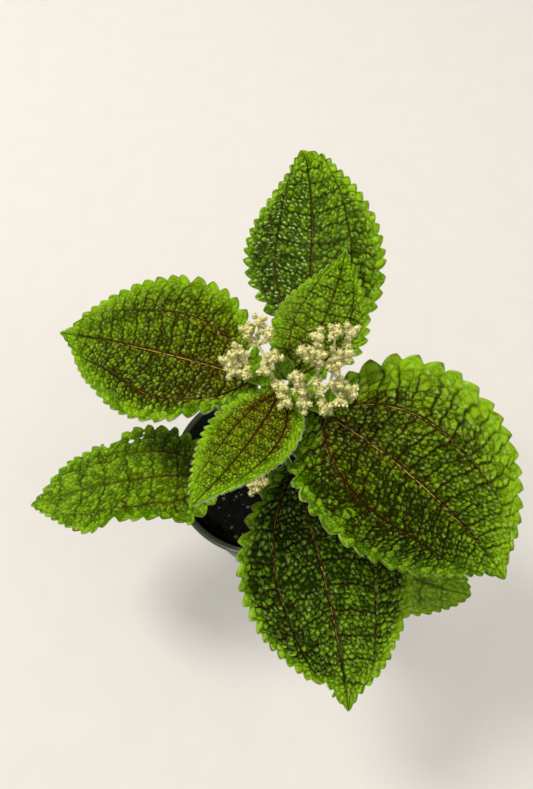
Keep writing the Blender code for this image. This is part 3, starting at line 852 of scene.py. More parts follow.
def quilt_colour(leaf, height, drift):
    """Colour of the cells and of the grooves between them, with painted light on the cell tops,
    painted shade low in the cells and painted glints.
    """
    spread, times, plus = leaf.spread, leaf.times, leaf.plus
    lime = plus("lime", spread(drift, 0, 1, -0.06, 0.06))
    lime = plus(lime, spread("tone", 0, 1, -0.26, 0.32))
    # Painted light: the higher a point sits on its cell, the lighter its green.
    lime = plus(lime, spread("height", 0.2, 1, -0.12, 0.04))
    lime = plus(lime, spread(height, 0.38, 0.62, -0.22, 0.22), clamp=True)
    colour = leaf.blend(lime, DEEP_GREEN, LIME)
    colour = leaf.blend(times("flush", spread(height, 0.35, 0.6, 0.9, 0.5)), colour, MAROON)
    # Painted shade: the darkening is strongest low in the cells, in their hollows.
    low = plus(spread("height", 0.1, 1, 0.75, 0.28), spread("tone", 0, 1, 0.30, -0.22))
    low = plus(low, spread(height, 0.38, 0.62, 0.28, -0.28))
    shade_and_dark = leaf.blend("flush", SHADE_AND_DARK_GREEN, SHADE_AND_DARK_BROWN)
    colour = leaf.blend(times("dark", low, clamp=True), colour, shade_and_dark, "MULTIPLY")
    valley = leaf.blend("dark", GROOVE_LIME, GROOVE_DARK)
    valley = leaf.blend("flush", valley, RUNG_BROWN)
    colour = leaf.blend(times("groove", spread("dark", 0, 1, 0.35, 1.0)), colour, valley)
    colour = leaf.blend(times("rung", spread("dark", 0, 0.3, 0.1, 0.8)), colour, RUNG_BROWN)
    # Painted glint: a pale spot over the top of many cells.
    return leaf.blend(times("fleck", spread(height, 0.3, 0.6, 0.6, 1.0)), colour, PAINTED_GLINT)


print("green of a young leaf:", LIME)

# %% [markdown]
# Over the quilt come the main veins, each a golden line between two brown ones, then the pale rim
# with its scorched teeth. The lower face is paler, with a red tinge, and dull like the rim.

# %% Veins, rim and lower face
VEIN_GOLD = (0.46, 0.34, 0.05)
WAX_TINT = (0.90, 1.00, 0.30)
SCORCH = (0.095, 0.040, 0.010)
PALE_RIM = (0.42, 0.50, 0.12)
UNDER_GREEN = (0.19, 0.30, 0.06)
UNDER_RED = (0.20, 0.07, 0.05)
BROWN_HALF = 1.15


def vein_colour(leaf, colour):
    """Draws the midrib and the side veins over a colour."""
    spread, times = leaf.spread, leaf.times
    to_arch = leaf.maths("ABSOLUTE", "arch")
    beside = times(spread("mid", BROWN_HALF, BROWN_HALF * 0.45), "brown")
    beside_arch = times(spread(to_arch, BROWN_HALF * 0.7, BROWN_HALF * 0.3), "brown_arch")
    beside = leaf.maths("MAXIMUM", beside, beside_arch)
    colour = leaf.blend(times(beside, 0.85), colour, RUNG_BROWN)
    middle = times(spread("mid", MIDRIB_HALF, MIDRIB_HALF * 0.5), "golden")
    arch = times(spread(to_arch, ARCH_HALF, ARCH_HALF * 0.5), "golden_arch")
    beads = spread(leaf.speckle(520.0), 0.42, 0.58, 0.05, 1.0)
    return leaf.blend(times(leaf.maths("MAXIMUM", middle, arch), beads), colour, VEIN_GOLD)


def make_leaf_material():
    leaf = Finish("quilted_leaf", 0.36, 0.3)
    spread, times = leaf.spread, leaf.times
    height, drift = leaf.grain(1300.0)
    colour = vein_colour(leaf, quilt_colour(leaf, height, drift))
    pale = spread(leaf.speckle(150.0), 0.45, 0.62, 0.0, 0.5)
    colour = leaf.blend(times(spread("rim", 0.1, 0.8), pale), colour, PALE_RIM)
    scorched = spread(leaf.speckle(90.0, 4.0), 0.56, 0.61, 0.0, 0.9)
    scorched = leaf.maths("MAXIMUM", times(spread("rim", 0.3, 0.8), scorched), "burnt")
    colour = leaf.blend(scorched, colour, SCORCH)
    below = leaf.blend(times("groove", 0.7), UNDER_GREEN, UNDER_RED)
    leaf.set("Base Color", leaf.blend("under", colour, below))
    dull = times(leaf.maths("MAXIMUM", "rim", "under"), 0.6)
    leaf.set("Roughness", leaf.plus(spread(drift, 0, 1, 0.15, 0.22), dull))
    leaf.set("Specular Tint", WAX_TINT)
    leaf.bump(height, 0.6, 0.0004)
    return leaf.material


LEAF_MATERIAL = make_leaf_material()
print("leaf shader nodes:", len(LEAF_MATERIAL.node_tree.nodes))

# %% [markdown]
# ## Stalks of the leaves
# Each blade hangs on a short fleshy stalk that leaves the stem at a node and turns into the
# blade's own direction. A Bezier curve with its two ends' directions given does that.

# %% Stalks
STEM = [
    (-4.0, -2.0, 36.0, 2.6), (-3.5, -2.0, 66.0, 2.6), (0.0, -1.0, 86.0, 2.8),
    (3.5, 0.0, 100.0, 2.2), (7.0, 1.0, 114.0, 2.6), (9.5, 3.0, 128.0, 1.9),
    (11.0, 5.0, 140.0, 2.3), (11.5, 5.5, 148.0, 1.9), (11.7, 5.7, 151.0, 1.0),
]
BLADE_THICKNESS = 0.5
STALK_RADIUS = 1.5
STALK_EASE = 0.4
STALK_STEPS = 22
STALK_SEAT_GAP = 0.6


def stem_at(height):
    """Centre and radius of the stem at a height."""
    path = smooth_path(STEM, 3)
    return [float(np.interp(height, path[:, 2], path[:, i])) for i in (0, 1, 3)]


def seat_on_stem(height, heading):
    """The point just clear of the stem's skin at a height, on the side of a heading in radians."""
    x, y, radius = stem_at(height)
    reach = radius + STALK_SEAT_GAP
    return np.array([x + reach * math.cos(heading), y + reach * math.sin(heading), height])


def unit(vector):
    return vector / np.linalg.norm(vector)


def stalk_path(leaf):
    """Points from the stem to a little way inside the blade."""
    end = on_leaf(leaf, np.array(0.0), np.array(0.0), np.array(-0.5 * BLADE_THICKNESS))
    ahead = unit(on_leaf(leaf, np.array(0.02), np.array(0.0), np.array(0.0)) - leaf.base)
    x, y, _ = stem_at(leaf.node_height)
    heading = math.atan2(leaf.base[1] - y, leaf.base[0] - x)
    start = seat_on_stem(leaf.node_height, heading)
    out = unit(np.array([math.cos(heading), math.sin(heading), 0.0]) + unit(end - start))
    reach = STALK_EASE * np.linalg.norm(end - start)
    first, second = start + out * reach, end - ahead * reach
    t = np.linspace(0, 1, STALK_STEPS)[:, None]
    u = 1 - t
    path = u ** 3 * start + 3 * t * u * u * first + 3 * t * t * u * second + t ** 3 * end
    return np.vstack([path, end + ahead * 2.0])


print("radius of the stem at its nodes:", [round(stem_at(z)[2], 2) for z in (86, 114, 140, 148)])

# %% [markdown]
# The blade is two sheets half a millimetre apart, an upper and a lower one, closed by a wall
# along their open edges. A hole that something has eaten is made by leaving out the quads
# near it before the edges are looked for, so the wall closes it too. The edges of that wall
# stay sharp, because smooth shading across such a thin rim would darken the whole margin.

# %% Sheets of quads and their edges
def grid_faces(rows, columns):
    """Quads over a grid of points, its normal up where rows run forwards and columns left."""
    i, j = np.meshgrid(np.arange(rows), np.arange(columns), indexing="ij")
    a = (i * (columns + 1) + j).ravel()
    return np.stack([a, a + columns + 1, a + columns + 2, a + 1], 1)


def open_edges(quads, count):
    """Pairs of points along the open edges of a sheet of quads: sides that no neighbour shares."""
    sides = np.concatenate([quads[:, [k, (k + 1) % 4]] for k in range(4)])
    shared = np.isin(sides[:, 0] * count + sides[:, 1], sides[:, 1] * count + sides[:, 0])
    return sides[~shared]


def keep_edges_sharp(mesh, pairs):
    """Stops the smooth shading at an edge, so that the thin rim doesn't darken the face."""
    ends = np.empty(2 * len(mesh.edges), int)
    mesh.edges.foreach_get("vertices", ends)
    keys = [
        two.min(1) * len(mesh.vertices) + two.max(1) for two in (ends.reshape(-1, 2), pairs)
    ]
    sharp = mesh.attributes.new("sharp_edge", "BOOLEAN", "EDGE")
    sharp.data.foreach_set("value", np.isin(*keys))


print("open edges of a sheet of two quads:", len(open_edges(grid_faces(1, 2), 6)))

# %% [markdown]
# One function makes any leaf: the flat blade, its quilt, the two sheets bent into place, and the
# stalk, in one mesh.

# %% Make the eight leaves
def make_leaf(leaf, node):
    look = LOOKS[leaf.name]
    rows, columns = look.rows, look.columns
    t, s = np.meshgrid(np.linspace(0, 1, rows + 1), np.linspace(-1, 1, columns + 1), indexing="ij")
    flat = flat_blade(leaf, look, t, s)
    quilt = quilt_of(leaf, look, flat)
    relief, bulge = relief_of(look, flat, quilt)
    values = colour_values(look, flat, line_values(leaf, look, flat, quilt, bulge))

    points = np.vstack([
        on_leaf(leaf, flat.along / leaf.length, flat.across, lift).reshape(-1, 3)
        for lift in (relief, relief - BLADE_THICKNESS)
    ])
    upper = grid_faces(rows, columns)
    middles = np.stack([flat.along.ravel(), flat.across.ravel()], 1)[upper].mean(1)
    for hole_along, hole_across, radius in HOLES.get(leaf.name, []):
        way = np.hypot(*(middles - (hole_along, hole_across)).T)
        upper, middles = upper[way > radius], middles[way > radius]
    count = t.size
    edges = open_edges(upper, count)
    wall = np.stack([edges[:, 1], edges[:, 0], edges[:, 0] + count, edges[:, 1] + count], 1)
    faces = np.vstack([upper, upper[:, ::-1] + count, wall]).tolist()
    values = {name: np.tile(value.ravel(), 2) for name, value in values.items()}
    skin = Skin(*values, "under")
    skin.add(points, faces, **values, under=np.repeat([0.0, 1.0], count))
    path = stalk_path(leaf)
    swelling = np.interp(np.arange(len(path)), [0, 4, len(path) - 1], [0.8, 0.85, 1.1])
    radii = STALK_RADIUS * min(1, leaf.length / 60) * swelling
    skin.add(*tube(path, radii, 12), tone=0.6, lime=1.0, height=0.8, mid=9.0, arch=9.0)
    made = skin.make(leaf.name + "_blade", LEAF_MATERIAL, node)
    keep_edges_sharp(made.data, np.vstack([edges, edges + count]))


for leaf in LEAVES:
    make_leaf(leaf, leaf.name)

# %% [markdown]
# At the tip of the stem, half hidden by the flowers, the next leaves are still unfolding. They
# are small leaves of the same kind, folded along the midrib, so the same function makes them.

# %% Make the young leaves
YOUNG_PLACES = (
    ("young_left", 150, (8.8, 7.0, 152.0), 19, 12, 165, 14, 30, -50),
    ("young_right", 150, (14.4, 3.8, 151.5), 19, 12, -38, 16, 30, -50),
    ("young_back", 151, (12.5, 8.0, 153.0), 12, 7, 120, 50, 20, -90),
    ("young_front", 151, (12.0, 3.6, 152.0), 13, 8, -75, 30, 30, -70),
)
YOUNG_LOOK = Look(
    36, 26, 1.1, 1.2, 3, (2, 2), 0.25, (9, 9), (0.5, 0.5), (0.5, 0.5), (0.5, 0.5), 0.5,
    (0.0, 0.0), [],
    0.75, 0.10, 3, 0.05, 0.0, 0.10, 0.15, 0.0, Marks(0.2, 0.2, 0.0, 1.5, 0.0, 0.0),
)
for *place, fold in YOUNG_PLACES:
    young = Leaf(*place, 0, 0, 0, fold, 0.7, 0.9, 0, 0, 0)
    LOOKS[young.name] = YOUNG_LOOK
    make_leaf(young, None)

# %% [markdown]
# ## Hairs
# Young leaves and stalks are covered in short pale hairs, which show as a white fringe where a
# margin is seen edge on. Each hair is a three-sided spike. Hairs could be a particle system, but
# a plain mesh is the same in every program.

# %% Spikes and where they grow
HAIR_LENGTH = 0.9
HAIR_RADIUS = 0.05
HAIR_COLOURS = (0.62, 0.66, 0.40), (0.82, 0.82, 0.66)
MARGIN_POINTS = 1200


def add_hair(skin, root, direction, length, random):
    """One three-sided spike."""
    direction = unit(direction)
    side = unit(np.cross(direction, random.normal(size=3)))
    up = np.cross(direction, side)
    ring = [side, -0.5 * side + 0.87 * up, -0.5 * side - 0.87 * up]
    points = [root + HAIR_RADIUS * way for way in ring] + [root + direction * length]
    skin.add(points, [(2, 1, 0), (0, 1, 3), (1, 2, 3), (2, 0, 3)])


def margin_points(leaf, side):
    """Points along one half's toothed margin, and the way out from the blade at each."""
    t = np.linspace(0, 1, MARGIN_POINTS)[:, None]
    lift = np.full_like(t, -0.2)
    places = []
    for share in (1.0, 0.9):
        flat = flat_blade(leaf, LOOKS[leaf.name], t, np.full_like(t, side * share))
        places.append(on_leaf(leaf, flat.along / leaf.length, flat.across, lift)[:, 0])
    out = places[0] - places[1]
    return places[0], out / np.maximum(np.linalg.norm(out, axis=1), 1e-6)[:, None]


def make_hair_material():
    hair = Finish("pale_hair", 0.5, 0.3)
    height, drift = hair.grain(900.0)
    hair.set("Base Color", hair.blend(drift, *HAIR_COLOURS))
    hair.bump(height, 0.1, 0.00002)
    return hair.material


print("length of a hair in mm:", HAIR_LENGTH)

# %% [markdown]
# The margins are haired most where they are young or near the stalk. Each row below gives a leaf,
# which half, from where to where along its margin, and how many hairs. Every stalk is haired too.

# %% Grow the hairs
FRINGES = (
    ("leaf_crown_front", 1, 0.02, 0.98, 1500), ("leaf_crown_front", -1, 0.02, 0.98, 250),
    ("leaf_crown_back", -1, 0.02, 0.9, 350), ("leaf_crown_back", 1, 0.02, 0.5, 150),
    ("leaf_left", 1, 0.0, 0.45, 600), ("leaf_left", -1, 0.0, 0.15, 120),
    ("leaf_right", -1, 0.0, 0.3, 250), ("leaf_right", 1, 0.0, 0.15, 200),
)
STALK_HAIRS = 260
HAIR_SEED = 21


def make_hairs():
    random = np.random.default_rng(HAIR_SEED)
    skin = Skin()
    by_name = {leaf.name: leaf for leaf in LEAVES}
    for name, side, start, end, count in FRINGES:
        points, out = margin_points(by_name[name], side)
        for _ in range(count):
            k = int(random.uniform(start, end) * (MARGIN_POINTS - 1))
            way = out[k] + random.normal(size=3) * 0.45
            length = HAIR_LENGTH * random.uniform(0.5, 1.2)
            add_hair(skin, points[k] - 0.15 * out[k], way, length, random)
    for leaf in LEAVES:
        path = stalk_path(leaf)
        for _ in range(STALK_HAIRS if leaf.node_height > 120 else STALK_HAIRS // 3):
            root = path[random.integers(2, len(path) - 2)]
            way = unit(random.normal(size=3))
            length = HAIR_LENGTH * random.uniform(0.6, 1.1)
            add_hair(skin, root + way * STALK_RADIUS * 0.75, way, length, random)
    skin.make("leaf_hairs", make_hair_material(), None)


make_hairs()

# %% [markdown]
# ## The flower sprays
# Each spray is a pale forked stalk with heads of tiny flowers. A head is one lumpy clump with
# smaller clumps round it, and more clumps sit along the branch that carries it, so that the heads
# run together. A clump is a pale core with flowers spread over it by the golden angle, which
# spaces points evenly on any ball. Most of the flowers have opened into a star of five petals.

# %% Sizes of the sprays
Spray = namedtuple("Spray", "name stem_height heading forks")
SPRAYS = [
    Spray("spray_left", 149, 155, [
        ((5, 7, 157), [(8, -1, 161), (10, -6, 160)]),
        ((1, 14, 164), [(2, 7, 162), (6, 11, 165)]),
        ((-2, 16, 166), [(0, 23, 172), (-5, 20, 170), (3, 18, 170)]),
        ((-5, 12, 165), [(-9, 13, 166), (-13, 11, 163), (-11, 7, 161), (-6, 6, 161)]),
    ]),
    Spray("spray_right", 150, -20, [
        ((18, 2, 157), [(16, -2, 161), (14, 2, 164), (17, -7, 159)]),
        ((22, 4, 163), [(23, -2, 163), (25, -8, 159)]),
        ((23, 5, 168), [(17, 8, 173), (22, 6, 174), (22, 12, 178)]),
        ((28, 5, 170), [(28, 13, 180), (34, 13, 180), (33, 6, 176), (28, 3, 171)]),
        ((27, 0, 164), [(30, -1, 166), (35, -4, 165), (31, -6, 161)]),
    ]),
    Spray("spray_low_left", 130, 190, [((-10, 2, 136), [(-16, 2, 139), (-14, -4, 137)])]),
    Spray("spray_low_right", 124, -40, [((15, -3, 134), [(16, -4, 140), (20, -8, 136)])]),
    Spray("spray_low_front", 104, -100, [((0, -15, 109), [(-3, -24, 112), (2, -22, 111)])]),
]
print("heads of flowers:", sum(len(heads) for spray in SPRAYS for _, heads in spray.forks))

# %% [markdown]
# A flower is twelve points: a foot, a ring of ten that is round for a bud and starred for an
# open flower, and a middle. It is only a millimetre across, so more points would not be seen.
# Each point also keeps how near a petal's tip it is, which the shader turns into colour.

# %% One flower
GOLDEN_ANGLE = math.pi * (3 - math.sqrt(5))
Flower = namedtuple("Flower", "ring foot middle")
BUD = Flower(((0.62, 0.1, 0.6), (0.62, 0.1, 0.6)), (-0.6, 0.1), (0.75, 0.9))
STAR = Flower(((1.08, 0.40, 1.0), (0.40, 0.0, 0.15)), (-0.6, 0.1), (-0.1, 0.25))


def ball_points(count):
    """Points spread evenly over a unit ball by the golden angle."""
    k = np.arange(count)
    z = 1 - (2 * k + 1) / count
    r = np.sqrt(1 - z * z)
    return np.stack([r * np.cos(k * GOLDEN_ANGLE), r * np.sin(k * GOLDEN_ANGLE), z], 1)


def flower_shape(flower):
    """A flower about +Z, and how near a petal's tip each of its points is."""
    points = [(0, 0, flower.foot[0], flower.foot[1])]
    for k in range(10):
        a = 2 * math.pi * k / 10
        out, lift, nearness = flower.ring[k % 2]
        points.append((out * math.cos(a), out * math.sin(a), lift, nearness))
    points.append((0, 0, *flower.middle))
    faces = []
    for k in range(10):
        here, beside = k + 1, (k + 1) % 10 + 1
        faces += [(0, beside, here), (11, here, beside)]
    points = np.array(points)
    return points[:, :3], faces, points[:, 3]


def turned_to(direction, spin=0.0):
    """A 3 by 3 matrix that turns +Z to a direction, after a spin about +Z."""
    turn = Vector(direction).to_track_quat("Z", "Y").to_matrix()
    return np.array(turn @ Matrix.Rotation(spin, 3, "Z"))


def small_ball(radius):
    """Points and faces of a small ball made of five rings."""
    heights = np.array([-0.9, -0.45, 0.0, 0.45, 0.9])
    angles = np.linspace(0, 2 * np.pi, 8, endpoint=False)
    points = [
        (math.sqrt(1 - h * h) * math.cos(a), math.sqrt(1 - h * h) * math.sin(a), h)
        for h in heights for a in angles
    ]
    return np.array(points) * radius, ring_faces(len(heights), 8)


FLOWER_SHAPES = [flower_shape(BUD), flower_shape(STAR)]
print("triangles of one flower:", len(FLOWER_SHAPES[1][1]))

# %% [markdown]
# The petals are matt and milky: cream at the tip, yellow-green at the base, and each a little
# different. Light passes a little way through them, so the gaps between them stay fairly pale; a
# dark speckle over the clumps is painted shade for those gaps. The stalks are nearly white green.

# %% Make the flower material
PETAL_BASE = (0.70, 0.65, 0.20)
PETAL_TIP = (1.00, 0.96, 0.55)
# Colour of the painted shade in the gaps between the flowers.
PETAL_GAP_SHADE = (0.30, 0.28, 0.06)
FLOWER_STALK = (0.60, 0.68, 0.34)


def make_flower_material():
    petal = Finish("flower_buds", 0.75, 0.3)
    height, drift = petal.grain(2600.0)
    tip = petal.times("tip", petal.spread("tone", 0, 1, 0.5, 1.1))
    tip = petal.plus(tip, petal.spread(drift, 0, 1, -0.08, 0.08), clamp=True)
    # Painted shade: a dark speckle standing for the shade in the gaps between flowers.
    gap = petal.spread(petal.speckle(1500.0), 0.50, 0.38, 0.0, 0.5)
    colour = petal.blend(gap, petal.blend(tip, PETAL_BASE, PETAL_TIP), PETAL_GAP_SHADE)
    petal.set("Base Color", petal.blend("stalk", colour, FLOWER_STALK))
    petal.set("Subsurface Weight", 0.15)
    petal.set("Subsurface Radius", (1.0, 0.8, 0.3))
    petal.set("Subsurface Scale", 0.0008)
    petal.bump(height, 0.3, 0.00008)
    return petal.material


FLOWER_MATERIAL = make_flower_material()
print("flower shader nodes:", len(FLOWER_MATERIAL.node_tree.nodes))

# %% [markdown]
# Every clump and every flower is turned and sized by chance, from a seed of its spray's own, so
# that no two heads look alike and yet each run gives the same plant.

# %% Make the sprays
PEDUNCLE_RADIUS = 0.75
BRANCH_RADIUS = 0.5
BRANCH_SAG = np.array([0, 0, -0.6])
BRANCH_CLUMPS = (0.25, 0.48, 0.72)
HEAD_REACH, HEAD_FLOWERS = 1.8, 17
SIDE_REACH, SIDE_FLOWERS = 1.05, 7
SIDE_CLUMPS = 5
SIDE_OFFSET = 2.65
FLOWER_RADIUS = 1.0
OPENED_SHARE = 0.85
SPRAY_SEED = 100


def add_clump(skin, centre, reach, count, random):
    """A pale core with flowers all over it."""
    core, core_faces = small_ball(reach * 0.9)
    skin.add(core + centre, core_faces, tip=0.25, tone=0.5)
    for direction in ball_points(count) @ turned_to(random.normal(size=3)).T:
        points, faces, nearness = FLOWER_SHAPES[int(random.random() < OPENED_SHARE)]
        facing = direction + random.normal(size=3) * 0.25
        size = FLOWER_RADIUS * random.uniform(0.8, 1.15)
        place = points * size @ turned_to(facing, random.uniform(0, 6)).T
        place = place + centre + direction * reach * random.uniform(0.9, 1.2)
        skin.add(place, faces, tip=nearness, tone=random.random())


def add_head(skin, centre, random):
    """One clump with smaller clumps round it, round a centre in mm."""
    add_clump(skin, centre, HEAD_REACH, HEAD_FLOWERS, random)
    for offset in ball_points(SIDE_CLUMPS) @ turned_to(random.normal(size=3)).T:
        offset = offset * SIDE_OFFSET * random.uniform(0.85, 1.15)
        add_clump(skin, centre + offset, SIDE_REACH, SIDE_FLOWERS, random)


def make_spray(spray, seed):
    random = np.random.default_rng(seed)
    skin = Skin("tip", "tone", "stalk")
    start = seat_on_stem(spray.stem_height, math.radians(spray.heading))
    main = [start] + [np.array(point, float) for point, _ in spray.forks]
    path = smooth_path(main, 8) if len(main) > 2 else np.linspace(*main, 8)
    radii = np.linspace(PEDUNCLE_RADIUS, PEDUNCLE_RADIUS * 0.75, len(path))
    skin.add(*tube(path, radii, 8), stalk=1.0, tone=0.5)
    for fork, heads in spray.forks:
        for head in heads:
            fork, head = np.array(fork, float), np.array(head, float)
            branch = smooth_path([fork, fork * 0.5 + head * 0.5 + BRANCH_SAG, head], 8)
            skin.add(*tube(branch, BRANCH_RADIUS, 6), stalk=1.0, tone=0.6)
            add_head(skin, head, random)
            for share in BRANCH_CLUMPS:
                beside = branch[int(share * len(branch))] + random.normal(size=3) * 0.7
                if np.linalg.norm(beside - head) > HEAD_REACH + 1.0:
                    add_clump(skin, beside, SIDE_REACH, SIDE_FLOWERS, random)
    skin.make(spray.name + "_flowers", FLOWER_MATERIAL, spray.name)


for k, spray in enumerate(SPRAYS):
    make_spray(spray, SPRAY_SEED + k)

# %% [markdown]
# ## The stem
# One fleshy stem leans through the middle of the plant, thicker at each node. It is a tube along
# the same points as its solid, with more rings and sides.

# %% Make the stem
STEM_GREEN, STEM_BROWN = (0.20, 0.22, 0.06), (0.26, 0.17, 0.08)


def make_stem_material():
    stem = Finish("fleshy_stem", 0.55, 0.4)
    height, drift = stem.grain(1200.0)
    stem.set("Base Color", stem.blend(drift, STEM_GREEN, STEM_BROWN))
    stem.bump(height, 0.3, 0.0001)
    return stem.material


stem_skin = Skin()
stem_path = smooth_path(STEM, 8)
stem_skin.add(*tube(stem_path[:, :3], stem_path[:, 3], 20))
stem_skin.make("stem_body", make_stem_material(), "stem")

# %% [markdown]
# ## The pot and its mix
# The pot is thin moulded plastic: a profile turned round its axis. The profile runs from the
# middle of the floor inside, up the wall, over the rounded lip and down outside to the middle of
# the underside.

# %% Profile of the pot
POT_HEIGHT = 78.0
RIM_RADIUS = 45.0
BASE_RADIUS = 31.0
WALL = 1.2
FLOOR = 1.6
BAND_FOOT = POT_HEIGHT - 11.0
BAND_STEP = 1.4
BAND_FLARE = 0.6
BAND_RADIUS = RIM_RADIUS - 1.8
LIP_FOOT = POT_HEIGHT - 3.0
LIP_STEPS = 9
SOFT = 0.8
LIP_TOP = POT_HEIGHT - SOFT
MIX_TOP = 66.0


def wall_radius(height):
    """Outer radius of the tapered wall below the band."""
    top = BAND_RADIUS - BAND_STEP - BAND_FLARE
    return BASE_RADIUS + (top - BASE_RADIUS) * height / BAND_FOOT


def pot_profile():
    lip_middle = (BAND_RADIUS - WALL + RIM_RADIUS) / 2
    lip_half = RIM_RADIUS - lip_middle
    turns = [math.pi * (1 - k / LIP_STEPS) for k in range(1, LIP_STEPS)]
    return [
        (0.0, FLOOR),
        (wall_radius(FLOOR) - WALL - SOFT, FLOOR),
        (wall_radius(FLOOR) - WALL, FLOOR + SOFT),
        (wall_radius(BAND_FOOT) - WALL, BAND_FOOT - SOFT),
        (BAND_RADIUS - BAND_FLARE - WALL, BAND_FOOT + SOFT),
        (BAND_RADIUS - WALL, POT_HEIGHT - 2 * SOFT),
        *((lip_middle + lip_half * math.cos(a), LIP_TOP + SOFT * math.sin(a)) for a in turns),
        (RIM_RADIUS, LIP_TOP),
        (RIM_RADIUS, LIP_FOOT + 0.5),
        (RIM_RADIUS - 0.5, LIP_FOOT),
        (BAND_RADIUS + 0.2, LIP_FOOT),
        (BAND_RADIUS, LIP_FOOT - 0.3),
        (BAND_RADIUS - BAND_FLARE, BAND_FOOT),
        (wall_radius(BAND_FOOT), BAND_FOOT - SOFT),
        (wall_radius(SOFT), SOFT),
        (BASE_RADIUS - 0.25, 0.25),
        (BASE_RADIUS - SOFT, 0.0),
        (0.0, 0.0),
    ]


print("wall radius at the mix:", round(wall_radius(MIX_TOP), 1))

# %% [markdown]
# Five drain holes are cut through the floor with a Boolean. The top of the rim is painted a
# lighter grey-green as a painted highlight, and a little dried mix dusts the wall.

# %% Make the pot
POT_STEPS = 128
DRAIN_HOLES = 5
DRAIN_HOLE_RADIUS = 3.5
DRAIN_CIRCLE_RADIUS = 20.0
DRAIN_TURN = 0.3
PLASTIC = (0.016, 0.026, 0.018), (0.030, 0.045, 0.032)
# Colour of the painted highlight along the top of the rim.
PAINTED_RIM_HIGHLIGHT = (0.125, 0.160, 0.105)
DUST = (0.10, 0.085, 0.06)


def turned(profile, steps):
    """Points and faces of a profile turned round +Z; its ends are on the axis."""
    angles = np.linspace(0, 2 * np.pi, steps, endpoint=False)
    inner = profile[1:-1]
    points = [(r * math.cos(a), r * math.sin(a), z) for r, z in inner for a in angles]
    points += [(0, 0, profile[0][1]), (0, 0, profile[-1][1])]
    first, last = len(points) - 2, len(points) - 1
    end = (len(inner) - 1) * steps
    faces = []
    for i in range(steps):
        beside = (i + 1) % steps
        for a in range(0, end, steps):
            faces.append((a + beside, a + i, a + steps + i, a + steps + beside))
        faces += [(first, i, beside), (last, end + beside, end + i)]
    return points, faces


def make_pot_material():
    pot = Finish("nursery_plastic", 0.38, 0.5)
    height, drift = pot.grain(2200.0)
    place = pot.add("TexCoord", {}, "Object")
    high = pot.add("SeparateXYZ", {0: place}, "Z")
    # Painted highlight: the top of the rim is lighter.
    rim_highlight = pot.spread(high, (POT_HEIGHT - 1.2) * MM, (POT_HEIGHT - 0.2) * MM)
    colour = pot.blend(rim_highlight, pot.blend(drift, *PLASTIC), PAINTED_RIM_HIGHLIGHT)
    dust = pot.spread(pot.speckle(260.0, 6.0, 0.7), 0.58, 0.75, 0.0, 0.45)
    pot.set("Base Color", pot.blend(dust, colour, DUST))
    pot.set("Roughness", pot.spread(drift, 0, 1, 0.32, 0.46))
    pot.bump(height, 0.2, 0.00008)
    return pot.material


def make_pot():
    skin = Skin()
    skin.add(*turned(pot_profile(), POT_STEPS))
    pot = skin.make("pot_shell", make_pot_material(), "pot")
    drill = bmesh.new()
    for i in range(DRAIN_HOLES):
        angle = 2 * math.pi * i / DRAIN_HOLES + DRAIN_TURN
        place = Vector((math.cos(angle), math.sin(angle), 0.0)) * DRAIN_CIRCLE_RADIUS * MM
        bmesh.ops.create_cone(
            drill, cap_ends=True, segments=24, radius1=DRAIN_HOLE_RADIUS * MM,
            radius2=DRAIN_HOLE_RADIUS * MM, depth=6 * FLOOR * MM,
            matrix=Matrix.Translation(place),
        )
    cutter_mesh = bpy.data.meshes.new("drill")
    drill.to_mesh(cutter_mesh)
    drill.free()
    cutter = add_object("drill", cutter_mesh)
    cut = pot.modifiers.new("drain_holes", "BOOLEAN")
    cut.operation = "DIFFERENCE"
    cut.object = cutter
    graph = bpy.context.evaluated_depsgraph_get()
    drilled = bpy.data.meshes.new_from_object(pot.evaluated_get(graph))
    pot.modifiers.clear()
    pot.data = drilled
    bpy.data.objects.remove(cutter)
    drilled.shade_smooth()
    drilled.set_sharp_from_angle(angle=math.radians(40))


make_pot()

# %% [markdown]
# The mix is a turned solid whose top is pushed up and down by noise of three sizes. Hundreds of
# rough grains lie on it: most are peat like the rest, some are white perlite and a few are
# yellowish chips of bark. Noise in the colour alone would look flat from the side.

# %% Surface and grains of the mix
MIX_LUMPS = ((0.12, 3.1, 1.3), (0.45, 7.9, 0.8), (1.1, 1.7, 0.45))
PEAT = (0.006, 0.005, 0.004), (0.022, 0.017, 0.011)
FIBRE = (0.055, 0.038, 0.020)
PERLITE = (0.48, 0.47, 0.43)
BARK = (0.24, 0.20, 0.06)


def mix_height(x, y, radius):
    """The crumbly surface: broad lumps with finer ones on them."""
    lump = 0.0
    for scale, slice_height, amount in MIX_LUMPS:
        lump += noise.noise(Vector((x * scale, y * scale, slice_height))) * amount
    return MIX_TOP + lump * min(1.0, (radius - math.hypot(x, y)) / 2 + 0.2)


def make_mix_material():
    mix = Finish("potting_mix_crumb", 0.95, 0.2)
    height, drift = mix.grain(1400.0, 6.0)
    fibre = mix.spread(mix.speckle(900.0, 5.0, 0.7), 0.60, 0.70)
    colour = mix.blend(fibre, mix.blend(drift, *PEAT), FIBRE)
    mix.set("Base Color", mix.blend("bark", mix.blend("pale", colour, PERLITE), BARK))
    mix.bump(height, 0.8, 0.0004)
    return mix.material


def lump_shape(random):
    """A rough grain about 1 mm across: an icosahedron with its points pushed in and out."""
    shape = bmesh.new()
    bmesh.ops.create_icosphere(shape, subdivisions=1, radius=1.0)
    points = np.array([v.co for v in shape.verts]) * random.uniform(0.7, 1.2, (12, 1))
    faces = [tuple(v.index for v in face.verts) for face in shape.faces]
    shape.free()
    return points, faces


print("height of the mix at its middle:", round(mix_height(0.0, 0.0, RIM_RADIUS), 1))

# %% [markdown]
# Grains are strewn evenly over the round top. One draw of chance decides what each grain is.

